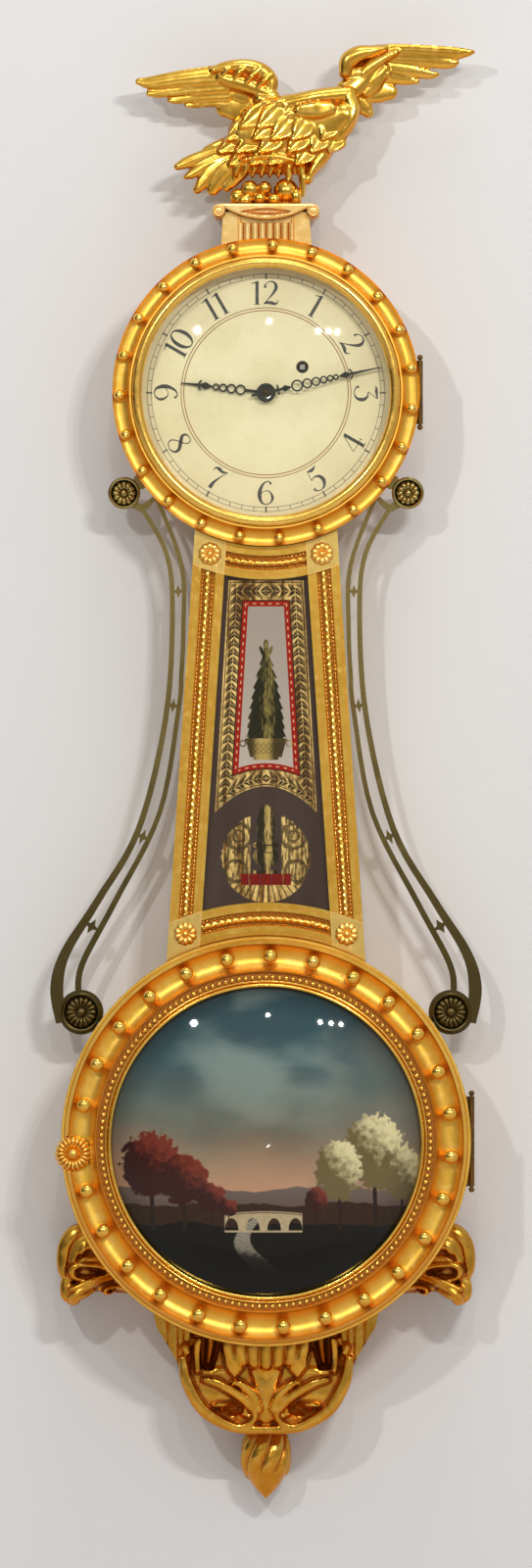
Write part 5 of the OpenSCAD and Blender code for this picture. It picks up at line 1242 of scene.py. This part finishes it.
def plinth_block():
    relief = Relief(HEAD_U, -39, 108, 41, 146, 0.6)
    x, u = relief.x, relief.u
    reed = 6.0
    across = x / reed - np.floor(x / reed) - 0.5
    reeds = 65.2 + 2.9 * np.sqrt(np.clip(1 - (across / 0.46) ** 2, 0, 1))
    low_edge = 119.6 + HEAD_U - 1.2 * np.cos(2 * math.pi * x / reed)
    high_edge = 136.5 + HEAD_U
    panel_in = np.minimum(21 - abs(x), np.minimum(high_edge + 6 - u, u - low_edge))
    height = np.where(panel_in > 0.3, np.where(u > high_edge, 66.0, reeds), 68.0)
    groove_line = (abs(abs(x) - 22.2) < 0.5) & (u > low_edge)
    height = np.where(groove_line, 67.2, height)
    relief.plate([(-37, 100), (38, 100), (34.5, 145), (-34.5, 145)], height)
    head = np.hypot(x, u - HEAD_U)
    relief.trim(head - 118.1)
    relief.trim(cap_underside(np.clip(x, -60, 60)) - 0.1 - u)
    for side in (-1, 1):
        relief.trim(np.hypot(x - side * ROLL_X, u - ROLL_U) - 5.4)
    block = Shape()
    relief.mesh(block, 14.0, soften=0)
    block.make("plinth_block", burnished_highlight_gilt, "case", ("plinth",), sharp=30)


def plinth_cap():
    relief = Relief(HEAD_U, -45, 137, 45, 153, 0.55)
    x, u = relief.x, relief.u
    top, low = HEAD_U + PLINTH_TOP, cap_underside(np.clip(x, -60, 60))
    edge = np.minimum(top - u, np.minimum(u - low, 37.4 - abs(x)))
    lens = 3.0 - abs(u - (top - 6.6)) - (x / 21.5) ** 2 * 3.0
    height = 75.8 - 0.9 * np.clip(1 - edge / 1.4, 0, 1) ** 2
    height = height - np.clip(lens / 0.8, 0, 1) * 2.6 + np.clip((lens - 1.5) / 0.9, 0, 1) * 2.0
    relief.merge(WHOLE, edge, height, height)
    for side in (-1, 1):
        far = np.hypot(x - side * ROLL_X, u - ROLL_U)
        roll = 75.9 - 1.6 * np.clip((far - 3.6) / 1.7, 0, 1) ** 2 - 0.9 * np.exp(-((far - 2.9) / 0.5) ** 2)
        relief.merge(WHOLE, 5.3 - far, roll, roll)
    cap = Shape()
    relief.mesh(cap, 10.0, soften=0)
    cap.make("plinth_cap_carving", burnished_highlight_gilt, "case", ("plinth_cap",), sharp=30)


plinth_block()
plinth_cap()


# Rosettes with petals round a domed middle
def rosette(shape, x, u, d, r, petals, rise, rows=1, middle=0.26, turn=0.0):
    n_round, n_out = petals * 10, 18
    a = np.linspace(0, 2 * math.pi, n_round, endpoint=False)[None, :]
    t = np.linspace(0, 1, n_out + 1)[1:, None]
    wave = np.abs(np.cos(petals * (a + turn) / 2)) ** 0.6
    edge = r * (0.9 + 0.1 * wave)
    rho = t * edge
    petal = np.sin(math.pi * np.clip((t - middle) / (1 - middle), 0, 1)) ** 0.7
    height = rise * (0.25 + 0.75 * petal * (0.45 + 0.55 * wave)) * np.clip((1.03 - t) / 0.12, 0, 1) ** 0.5
    if rows > 1:
        inner = np.abs(np.sin(petals * (a + turn) / 2)) ** 0.6
        s = np.clip((t - middle) / (0.62 - middle), 0, 1)
        height = np.maximum(height, rise * (0.5 + 0.75 * inner * np.sin(math.pi * s) ** 0.7) * (s < 1))
    dome = np.clip(1 - (t / middle) ** 2, 0, 1)
    height = np.maximum(height, rise * (0.6 + 0.75 * np.sqrt(dome)) * (t < middle))
    # Low parts between the petals are marked as grooves: bole on gilt, patina on brass, and painted shade on
    # both.
    groove = np.clip(1.1 - 1.6 * height / rise, 0, 1)
    points = np.stack([x + rho * np.sin(a), u + rho * np.cos(a), d + height], -1)
    rim = np.stack([x + edge[0] * np.sin(a[0]), u + edge[0] * np.cos(a[0]), np.full(n_round, d)], -1)
    rows_all = np.concatenate([points, rim[None]], 0)
    shape.grid(rows_all[:, ::-1], np.concatenate([groove, groove[-1:]], 0)[:, ::-1], around=True)
    shape.fan(points[0], (x, u, d + rise * 1.35))
    shape.fan(rim, (x, u, d), flip=True)


def throat_half(v):
    return THROAT_TOP + THROAT_GROWS * (-v - HEAD_R) / THROAT_HIGH


# Middles of the rosettes on the right, from the centre of the head, and for the arms a radius and petals too
THROAT_FLOWERS = [(45.0, -129.4), (64.7, -434.2)]
ARM_FLOWERS = [(114.19, -79.96, 13.0, 12), (148.84, -497.71, 16.0, 16)]
LATCH_FLOWER = (-154.31, -9.44 + LOWER_U, 100.2)
flowers = Shape()
for side in (-1, 1):
    for x, v in THROAT_FLOWERS:
        rosette(flowers, side * x, v + HEAD_U, 78.1, 9.4, 10, 2.4)
flowers.make("throat_flowers", rosette_gilt, "case", ("throat_rosettes",))

latch_flower = Shape()
rosette(latch_flower, *LATCH_FLOWER, 14.8, 20, 5.5, middle=0.3)
latch_flower.make("latch_flower", latch_gilt, "latch", ("latch_rosette",))


def arm_flower(shape, x, u, r, petals):
    """A rosette in a dished disc with a rolled rim. The profile is (mm in from the rim, depth, darkness); the
    darkness is patina and painted shade in the dish, against a light rim.
    """
    profile = [(r - 0.1, 45.4, 0.9), (3.4, 45.4, 0.9), (3.0, 46.0, 0.6), (2.4, 47.4, 0), (1.2, 47.9, 0),
               (0.3, 47.3, 0), (0, 46.2, 0.1), (0, 43.6, 0.3)]
    n = 72
    disc = turned_points([(r - inset, depth) for inset, depth, dark in profile], n, (x, u))
    shape.grid(disc[:, ::-1], np.repeat([[dark] for inset, depth, dark in profile], n, 1), around=True)
    shape.fan(disc[-1], (x, u, 43.6), flip=True)
    shape.fan(disc[0], (x, u, 45.4))
    rosette(shape, x, u, 45.3, r - 3.0, petals, 2.4, middle=0.3)


arm_flowers = Shape()
for side in (-1, 1):
    for x, v, r, petals in ARM_FLOWERS:
        arm_flower(arm_flowers, side * x, v + HEAD_U, r, petals)
arm_flowers.make("arm_flowers", arm_rosette_bronze, "case", ("arm_rosettes",))


CASE_EDGE = 161.15


def carve_bracket():
    relief = Relief(LOWER_U, -93, -238, 93, -117, 0.9)
    x, u = relief.x, relief.u
    v, far = u - LOWER_U, abs(relief.x)
    half = [(91.5, -118), (91.5, -134), (88, -150), (80, -163), (72, -177), (66, -192), (59, -207),
            (51, -219), (40.5, -228), (28, -234), (18, -236.3)]
    ground = 49 + 5 * np.clip((v + 236) / 30, 0, 1) - np.clip((v + 190) / 30, 0, 1) * 6
    steps = 57.0 + 2.0 * (far > 66) + 2.0 * (far > 71) + 2.0 * (far > 79)
    corner = (v > -196 + (90 - far) * 0.4) & (far > 60)
    relief.plate(half + [(-a, b) for a, b in half[::-1]], np.where(corner, steps, ground))
    for side in (-1, 1):
        relief.carve(BRACKET_SIDE, side)
    # Capital of rounded lobes over pointed petals, and the fluted ridge below it
    for x_tip in (-25.2, 0, 25.2):
        relief.lobe([(x_tip, -178, 9, 61), (x_tip, -184, 7, 60.5), (x_tip, -192, 0.8, 60)], rise=3)
    for k in range(-3, 4):
        low = abs(k)
        relief.lobe([(10.2 * k, -156, 5.0, 60 - low * 0.8), (10.2 * k, -166, 5.6, 61.5 - low),
                     (9.6 * k, -180 + low * 1.2, 5.4, 61 - low * 1.2)], rise=7.4, square=2.1)
    relief.lobe([(0, -186, 13, 57), (0, -203, 9, 57), (0, -222, 7, 55)], rise=5, square=2.0, keel=0.8)
    relief.lobe([(-20, -222, 6, 50), (0, -226, 8, 50), (20, -222, 6, 50)], rise=3, square=2.2)
    # Hollows: the eyes of the leaves and the dark gaps beside the capital
    for side in (-1, 1):
        relief.gouge([(side * 24, -216, 6.0, 44), (side * 30, -217.5, 4.8, 44)])
        relief.gouge([(side * 45, -150, 7, 20), (side * 44.5, -165, 6.4, 20), (side * 46.5, -180, 4.6, 24)],
                     soft=0.4)
    relief.trim(np.hypot(x, v) - CASE_EDGE)
    bracket = Shape()
    relief.mesh(bracket, 0.3)
    bracket.make("bracket_carving", carving_gilt, "case", ("base_bracket",))


carve_bracket()


# Pendant bud: overlapping petals round a turned core, with a smooth pointed tip
def pendant():
    profile = [(-236.7, 15.5), (-240, 17.6), (-245, 19.6), (-250, 20.8), (-256, 21.2), (-262, 20.6),
               (-268, 18.8), (-273, 16.4), (-278, 12.9), (-282, 9.4), (-286, 5.2), (-289.6, 0.9)]
    petals, twist, tip, depth = 8, 1.0, -280.0, 24
    top, low = profile[0][0], profile[-1][0]
    v = np.linspace(top, low, 60)[:, None]
    core = np.interp(-v, [-at for at, r in profile], [r for at, r in profile])
    a = np.linspace(0, 2 * math.pi, 128, endpoint=False)[None, :]
    run = np.clip((v - top) / (tip - top), 0, 1)
    turn = petals * (a + twist * run) / 2
    wave = np.abs(np.cos(turn)) ** 0.55
    long = 1 + np.cos(np.floor(turn / math.pi + 0.5) * 2.4) * 0.5
    end = np.clip((v - tip - (1 - wave) * 9 - long * 6) / 1.5, 0, 1)
    radius = core * 0.9 + (core * 0.1 + 0.1) * wave * end - 1.2 * (1 - wave) * end
    points = np.stack([radius * np.sin(a), v + LOWER_U + 0 * a, depth + radius * np.cos(a)], -1)
    # Gaps between the petals get bole and painted shade.
    groove = np.clip((core - radius) / 3.4, 0, 1) * end
    bud = Shape()
    bud.grid(points, groove, around=True)
    bud.fan(points[0], (0, top + LOWER_U, depth), flip=True)
    bud.fan(points[-1], (0, low - 0.4 + LOWER_U, depth))
    bud.make("pendant_petals", carving_gilt, "case", ("pendant_bud",))


pendant()


# Throat ornament: a twisted rope between two rows of small beads
def along_frame(inset, step):
    """Four lines round the throat, at this inset from its edge: both stiles, then the top and bottom arcs."""
    lines = []
    for side in (-1, 1):
        v = np.arange(-144.0, -419.8, -step)
        lines.append(np.stack([side * (throat_half(v) - inset), v + HEAD_U, 0 * v], 1))
    for radius, centre, half, way in ((124 + inset, HEAD_U, 14.2, -1), (165 + inset, LOWER_U, 16.7, 1)):
        n = int(2 * math.radians(half) * radius / step)
        a = np.radians(np.linspace(-half, half, n))
        lines.append(np.stack([radius * np.sin(a), centre + way * radius * np.cos(a), 0 * a], 1))
    return lines


def throat_ornament():
    rope = Shape()
    around = np.linspace(0, 2 * math.pi, 12, endpoint=False)[None, :]
    rope_gap, rope_twist = 0.92, 5.6
    for line in along_frame(13, rope_gap):
        line[:, 2] = 74.85
        far = rope_gap * np.arange(len(line))[:, None]
        r = 2.3 + 0.42 * np.cos(2 * around - 2 * math.pi * far / rope_twist)
        sweep(rope, line, np.stack([r * np.cos(around), r * np.sin(around)], -1))
    half_round = np.linspace(0, math.pi, 6)[None, :]
    bead_gap, bead_long = 0.8, 3.2
    for inset in (8.9, 17.1):
        for line in along_frame(inset, bead_gap):
            line[:, 2] = 72.1
            far = bead_gap * np.arange(len(line))[:, None]
            r = 0.35 + 0.95 * np.abs(np.sin(math.pi * far / bead_long)) ** 0.6
            sweep(rope, line, np.stack([r * np.cos(half_round), 1.25 * r * np.sin(half_round)], -1))
    rope.make("throat_twist", ball_gilt, "case", ("throat_rope",))


throat_ornament()


# Beading round the lower tablet
def tablet_beading():
    beads = Shape()
    a = np.linspace(0, math.pi, 9)
    profile = [(136.0, 101.6), (134.0, 102.2), (134.0, 102.6), (129.4, 102.6), (129.4, 103.4)]
    profile += [(128.3 + 1.1 * math.cos(t), 103.6 + 1.5 * math.sin(t)) for t in a]
    profile += [(125.2 + 1.6 * math.cos(t), 104.4 + 1.9 * math.sin(t)) for t in a] + [(123.6, 101.6)]
    n = 240
    ring = turned_points(profile, n, (0, LOWER_U))
    # The flat ring under the beads is marked for bole and painted shade.
    dark = [0.9 if radius > 128.9 else 0.0 for radius, _ in profile]
    beads.grid(ring[::-1], np.repeat(np.array(dark)[::-1, None], n, 1), around=True, over=True)
    bead_count, bead_ring = 152, 131.7
    for k in range(bead_count):
        t = 2 * math.pi * k / bead_count
        ball(beads, bead_ring * math.sin(t), LOWER_U + bead_ring * math.cos(t), 104.2, 2.2, 6, 10)
    beads.make("tablet_beads", bead_gilt, "door", ("door_beading",))


tablet_beading()


# Acanthus leaves on the sides of the lower box, drawn for the right one
LEAF = read_off(LEAF_CROP, [
    ([(900, 620, 300, 46), (1060, 640, 270, 46), (1150, 720, 190, 46), (1210, 850, 110, 46)],
     dict(rise=3, square=3)),
    ([(1020, 330, 70, 50), (1160, 380, 85, 51), (1270, 520, 85, 51), (1310, 700, 80, 50), (1320, 860, 60, 50),
      (1300, 960, 40, 50)], dict(rise=4, square=2.6, tilt=1.5)),
    ([(940, 420, 90, 50), (1080, 500, 95, 50), (1150, 620, 80, 50), (1190, 760, 60, 50)],
     dict(rise=3.5, square=2.6, tilt=1.0)),
    ([(900, 560, 70, 50), (1000, 560, 70, 51), (1060, 640, 50, 51)], dict(rise=4, square=2.2)),
    ([(700, 830, 60, 46), (860, 730, 55, 52), (1010, 740, 48, 54), (1110, 800, 34, 54)],
     dict(rise=4.5, square=2.2)),
    ([(640, 920, 50, 44), (800, 830, 50, 52), (960, 810, 46, 55), (1090, 810, 50, 56), (1180, 880, 56, 56),
      (1140, 980, 44, 55), (1020, 1010, 34, 53), (900, 1000, 26, 52)], dict(rise=5, square=2.4)),
    ([(1190, 900, 60, 47), (1250, 1040, 85, 49), (1240, 1200, 100, 50), (1160, 1270, 90, 50)],
     dict(rise=5, square=2.6)),
    ([(660, 960, 70, 44), (840, 1010, 80, 48), (1000, 1090, 100, 50), (1120, 1180, 110, 51),
      (1190, 1250, 80, 51)],
     dict(rise=3.5, square=2.6)),
    ([(640, 930, 36, 47), (780, 955, 40, 52), (920, 1020, 44, 55), (1060, 1080, 44, 56),
      (1190, 1140, 40, 56)],
     dict(rise=4.5, square=2.2)),
    ([(660, 1000, 36, 46), (800, 1030, 40, 51), (960, 1100, 44, 54.5), (1100, 1180, 46, 56),
      (1190, 1250, 40, 56)],
     dict(rise=4.5, square=2.2)),
    ([(900, 1150, 36, 49), (1010, 1215, 42, 52), (1120, 1262, 42, 54), (1190, 1280, 36, 54)],
     dict(rise=4, square=2.2)),
    ([(430, 1140, 40, 44), (560, 1115, 40, 46), (680, 1130, 44, 47), (745, 1175, 36, 48), (690, 1200, 22, 48),
      (610, 1165, 14, 47)], dict(rise=4, square=2.2)),
    ([(500, 1060, 90, 42), (640, 1060, 90, 42), (800, 1100, 70, 44)], dict(rise=1.5, square=2.6)),
])


def leaf_carving(name, node, side):
    relief = Relief(LOWER_U, 94, -140, 170, -60)
    relief.lobe([(112, -112, 12, 40), (130, -110, 13, 41), (150, -108, 12, 42)], rise=1)
    relief.carve(LEAF)
    # The dark eye between the ridges, and the gap over the curl
    relief.gouge([(130, -107, 1.2, 42), (141, -107.6, 1.8, 45), (150, -106, 1.4, 46)], soft=0.6)
    relief.trim(np.hypot(relief.x, relief.u - LOWER_U) - CASE_EDGE)
    leaf = Shape()
    relief.mesh(leaf, 18.2, mirror=side < 0)
    leaf.make(name, carving_gilt, "case", (node,))


leaf_carving("left_acanthus", "left_leaf", -1)
leaf_carving("right_acanthus", "right_leaf", 1)


# Numerals: pen strokes of (across, up, half width), on a baseline, for figures of this height
FIGURE_HIGH = 17.4
FIGURE_SCALE = (1.2, 1.09)
FIGURES = {
    "1": [[(0, 0.2, 1.1), (0, 17.0, 1.1)], [(0.9, 17.2, 0.3), (-1.2, 16.3, 0.4), (-4.0, 15.6, 0.2)],
          [(-2.2, 0.2, 0.2), (2.2, 0.2, 0.2)]],
    "2": [[(-3.6, 12.4, 1.0), (-3.3, 14.8, 0.4), (-0.6, 17.1, 0.3), (2.6, 16.2, 0.7), (3.8, 13.0, 1.15),
           (2.2, 9.0, 0.8),
           (-1.2, 4.4, 0.35), (-4.6, 0.5, 0.2)],
          [(-4.6, 0.4, 0.2), (-2.4, 1.5, 0.9), (0.6, 1.3, 1.15), (3.2, 0.6, 0.8), (4.7, 1.6, 0.35),
           (5.1, 3.6, 0.2)]],
    "3": [[(-4.0, 15.0, 0.2), (-3.4, 16.6, 0.5), (-1.0, 16.4, 0.95), (4.2, 17.2, 0.3)],
          [(4.2, 17.2, 0.2), (-0.6, 10.4, 0.25)],
          [(-0.6, 10.4, 0.25), (2.6, 9.8, 0.6), (4.6, 6.4, 1.25), (3.6, 2.0, 0.8), (0.2, 0.2, 0.3),
           (-3.2, 1.2, 0.4), (-4.2, 3.6, 0.9)]],
    "4": [[(1.9, 0.2, 1.1), (1.9, 17.2, 1.1)], [(1.2, 17.0, 0.25), (-5.0, 4.8, 0.2)],
          [(-5.0, 4.8, 0.2), (4.8, 4.8, 0.2)],
          [(4.8, 3.8, 0.25), (4.8, 5.8, 0.25)], [(0, 0.2, 0.2), (4.0, 0.2, 0.2)]],
    "5": [[(-2.6, 16.8, 0.2), (-3.0, 9.2, 0.25)], [(-2.7, 16.6, 0.4), (0.4, 16.0, 1.1), (3.8, 17.6, 0.25)],
          [(-3.0, 9.2, 0.25), (-0.4, 10.8, 0.4), (3.0, 9.4, 0.95), (4.3, 5.6, 1.25), (2.6, 1.4, 0.7),
           (-1.0, 0.1, 0.3),
           (-3.8, 1.6, 0.5), (-4.0, 3.4, 0.9)]],
    "6": [[(3.4, 14.8, 0.85), (1.8, 17.0, 0.35), (-1.4, 15.6, 0.6), (-3.8, 11.0, 1.15), (-4.3, 6.0, 1.3),
           (-2.8, 1.4, 0.7),
           (0.2, 0.1, 0.3), (3.2, 1.6, 0.5), (4.4, 5.0, 0.9), (3.0, 8.8, 0.5), (0.4, 10.2, 0.25),
           (-2.6, 8.8, 0.25), (-4.1, 6.2, 0.3)]],
    "7": [[(-4.5, 13.4, 0.2), (-4.1, 16.0, 0.5), (-1.6, 16.5, 1.1), (1.4, 15.7, 0.9), (4.6, 17.2, 0.2)],
          [(4.6, 17.2, 0.2), (1.8, 11.6, 0.4), (-0.4, 6.0, 0.9), (-1.0, 1.4, 1.4), (-1.0, 1.0, 1.2)]],
    "8": [[(3.3, 14.4, 0.35), (2.4, 16.4, 0.3), (0.2, 17.1, 0.3), (-2.6, 15.8, 0.6), (-2.9, 12.8, 1.0),
           (0.4, 9.4, 1.25),
           (3.6, 6.0, 1.1), (3.7, 2.2, 0.7), (0.2, 0.1, 0.3), (-3.6, 1.6, 0.35), (-4.2, 4.8, 0.4),
           (-1.8, 8.2, 0.3),
           (1.8, 11.4, 0.3), (3.3, 14.4, 0.35)]],
    "0": [[(4.5 * math.sin(t), 8.7 + 8.5 * math.cos(t), 0.3 + 0.95 * abs(math.sin(t)) ** 1.6)
           for t in np.linspace(0, 2 * math.pi, 17)]],
}
FIGURES["9"] = [[(-x, FIGURE_HIGH - y, half) for x, y, half in stroke] for stroke in FIGURES["6"]]
FIGURE_PLACES = {"10": [-5.4, 3.0], "11": [-3.7, 3.9], "12": [-6.0, 3.0]}
FIGURE_R = 80.2
DIAL_FRONT = 67.5


def numerals():
    figures = Shape()
    flat = np.array([(-1, 0.0), (1, 0.0), (1, 1.0), (-1, 1.0)])
    for hour in range(1, 13):
        word = str(hour)
        bearing = math.radians(30 * hour)
        turn = bearing + math.pi if 4 <= hour <= 8 else bearing
        c, s = math.cos(turn), math.sin(turn)
        for figure, shift in zip(word, FIGURE_PLACES.get(word, [0])):
            for stroke in FIGURES[figure]:
                line = even_line(smooth_line(stroke, 6), 0.7)
                x = (line[:, 0] + shift) * FIGURE_SCALE[0]
                y = (line[:, 1] - FIGURE_HIGH / 2) * FIGURE_SCALE[1]
                path = np.stack([FIGURE_R * math.sin(bearing) + x * c + y * s,
                                 HEAD_U + FIGURE_R * math.cos(bearing) - x * s + y * c,
                                 np.full(len(x), DIAL_FRONT - 0.02)], 1)
                half = line[:, 2:3]
                across = np.stack([flat[None, :, 0] * half * 1.2, 0.14 * flat[None, :, 1] + 0 * half], -1)
                sweep(figures, path, across)
    figures.make("dial_numerals", ink_paint, "case", sharp=20)


numerals()


# Twisted cord of the weight: down from the barrel, round the pulley and up to its hook
def cord_finish():
    paint = Paint("cord_fibre")
    fibre = paint.grain(0.5, 3, (1, 1, 0.3))
    colour = paint.mix(fibre, rgb(150, 118, 76), rgb(206, 178, 130))
    return paint.finish(colour, 0.75, 0.0, paint.bump(fibre, 0.15))


def weight_line(name, points, body, finish, nodes=()):
    path = np.array([(x, u, 29.0) for x, u in points])
    around = np.linspace(0, 2 * math.pi, 8, endpoint=False)[None, :]
    far = 1.5 * np.arange(len(path))[:, None]
    r = 0.68 + 0.12 * np.cos(2 * around - 2 * math.pi * far / 6)
    line = Shape()
    sweep(line, path, np.stack([r * np.cos(around), r * np.sin(around)], -1))
    return line.make(name, finish, body, nodes)


BARREL_U, HOOK_U, PULLEY_U = HEAD_U + WINDING_V, HEAD_U - 33.6, HEAD_U - 457.0
PULLEY_X, PULLEY_R, WEIGHT_LIFT = 7.6, 14.0, 382.0
cord_fibre = cord_finish()
weight_line("cord_round_pulley", [(PULLEY_X + PULLEY_R * math.cos(a), PULLEY_U - PULLEY_R * math.sin(a))
                                  for a in np.linspace(0, math.pi, 30)], "weight", cord_fibre)
for name, x, top, nodes in (("cord_to_barrel", PULLEY_X + PULLEY_R, BARREL_U, ("weight_cord",)),
                            ("cord_to_hook", PULLEY_X - PULLEY_R, HOOK_U, ())):
    points = [(x, u) for u in np.arange(top, PULLEY_U - 0.5, -1.5)]
    fall = weight_line(name, points, "case", cord_fibre, nodes)
    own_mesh(fall)


# Room: pale wall and floor, soft lamps, and the photograph's square-on view
def patchy(paint, colour):
    """The colour with faint patches, and the patches."""
    patches = paint.grain(30, 2)
    return paint.mix(patches, colour, [part * 0.985 for part in colour[:3]] + [1]), patches


def plain_paint(name, colour):
    paint = Paint(name)
    tone, patches = patchy(paint, colour)
    return paint.finish(tone, 0.9, 0.0, paint.bump(patches, 0.2))


def one_sided(name, colour):
    """Wall paint that is seen from the front only, so that views from behind look through it."""
    paint = Paint(name)
    wall = paint.node("BsdfDiffuse", None, {"Color": patchy(paint, colour)[0]})
    clear = paint.node("BsdfTransparent")
    behind = paint.node("NewGeometry").outputs["Backfacing"]
    both = paint.node("MixShader", None, {0: behind, 1: wall.outputs[0], 2: clear.outputs[0]})
    paint.close(both.outputs[0])
    return paint.material


def panel(name, corners, material):
    mesh = bpy.data.meshes.new(name)
    mesh.from_pydata(corners, [], [(0, 1, 2, 3)])
    mesh.materials.append(material)
    made = bpy.data.objects.new(name, mesh)
    bpy.context.scene.collection.objects.link(made)
    return made


WALL_Y = 0.003
FLOOR_Z = -1.16
wall = panel("wall_behind",
             [(-3, WALL_Y, FLOOR_Z), (3, WALL_Y, FLOOR_Z), (3, WALL_Y, 1.8), (-3, WALL_Y, 1.8)],
             one_sided("wall_paint", (0.71, 0.70, 0.70, 1)))
wall.visible_diffuse = False
panel("floor", [(-6, -12, FLOOR_Z), (6, -12, FLOOR_Z), (6, 3, FLOOR_Z), (-6, 3, FLOOR_Z)],
      plain_paint("floor_paint", (0.78, 0.775, 0.76, 1)))


def lamp(name, place, target, size, power, colour):
    """A round lamp size m across that faces its target."""
    light = bpy.data.lights.new(name, "AREA")
    light.shape, light.size, light.energy, light.color = "DISK", size, power, colour
    made = bpy.data.objects.new(name, light)
    bpy.context.scene.collection.objects.link(made)
    made.location = place
    towards = [b - a for a, b in zip(place, target)]
    length = math.sqrt(sum(part * part for part in towards))
    made.rotation_euler = (math.acos(-towards[2] / length), 0, math.atan2(towards[0], -towards[1]) + math.pi)


MIDDLE = (0.0, -0.05, -0.4)
WARM = (1.0, 0.985, 0.96)
lamp("lamp_left", (-1.1, -3.0, 1.04), MIDDLE, 0.10, 21, (1.0, 0.99, 0.97))
for number, across in enumerate((0.80, 0.97, 1.13)):
    lamp(f"lamp_right_{number + 1}", (across, -2.95, 1.0), MIDDLE, 0.06, 11, WARM)
lamp("lamp_middle", (0.03, -3.0, 1.12), MIDDLE, 0.05, 6, WARM)
lamp("lamp_above", (0.15, -0.9, 1.9), (0, -0.05, -0.3), 0.9, 8, (1, 1, 1))

world = bpy.data.worlds.new("pale_room")
bpy.context.scene.world = world
world.use_nodes = True
# The room is brighter above, on the right and behind the viewer than it is below and on the left
BRIGHT_WAY = (0.42, -0.42, 0.80)
sky = world.node_tree
way = sky.nodes.new("ShaderNodeVectorMath")
way.operation = "DOT_PRODUCT"
way.inputs[1].default_value = BRIGHT_WAY
sky.links.new(sky.nodes.new("ShaderNodeTexCoord").outputs["Generated"], way.inputs[0])
fade = sky.nodes.new("ShaderNodeMapRange")
sky.links.new(way.outputs["Value"], fade.inputs["Value"])
for socket, value in (("From Min", -0.3), ("From Max", 0.9), ("To Min", 0.02), ("To Max", 0.66)):
    fade.inputs[socket].default_value = value
sky.nodes["Background"].inputs[0].default_value = (1.0, 0.99, 0.975, 1)
sky.links.new(fade.outputs[0], sky.nodes["Background"].inputs[1])

VIEW_FAR = 9.0
VIEW_HIGH = 1.256
VIEW_PLANE = 0.085
view = bpy.data.cameras.new("front_view")
view.sensor_width = 36
view.lens = 36 * (VIEW_FAR - VIEW_PLANE) / VIEW_HIGH
camera = bpy.data.objects.new("front_view", view)
bpy.context.scene.collection.objects.link(camera)
camera.location = (0, -VIEW_FAR, -0.376)
camera.rotation_euler = (math.pi / 2, 0, 0)
bpy.context.scene.camera = camera
bpy.context.scene.view_settings.view_transform = "Standard"
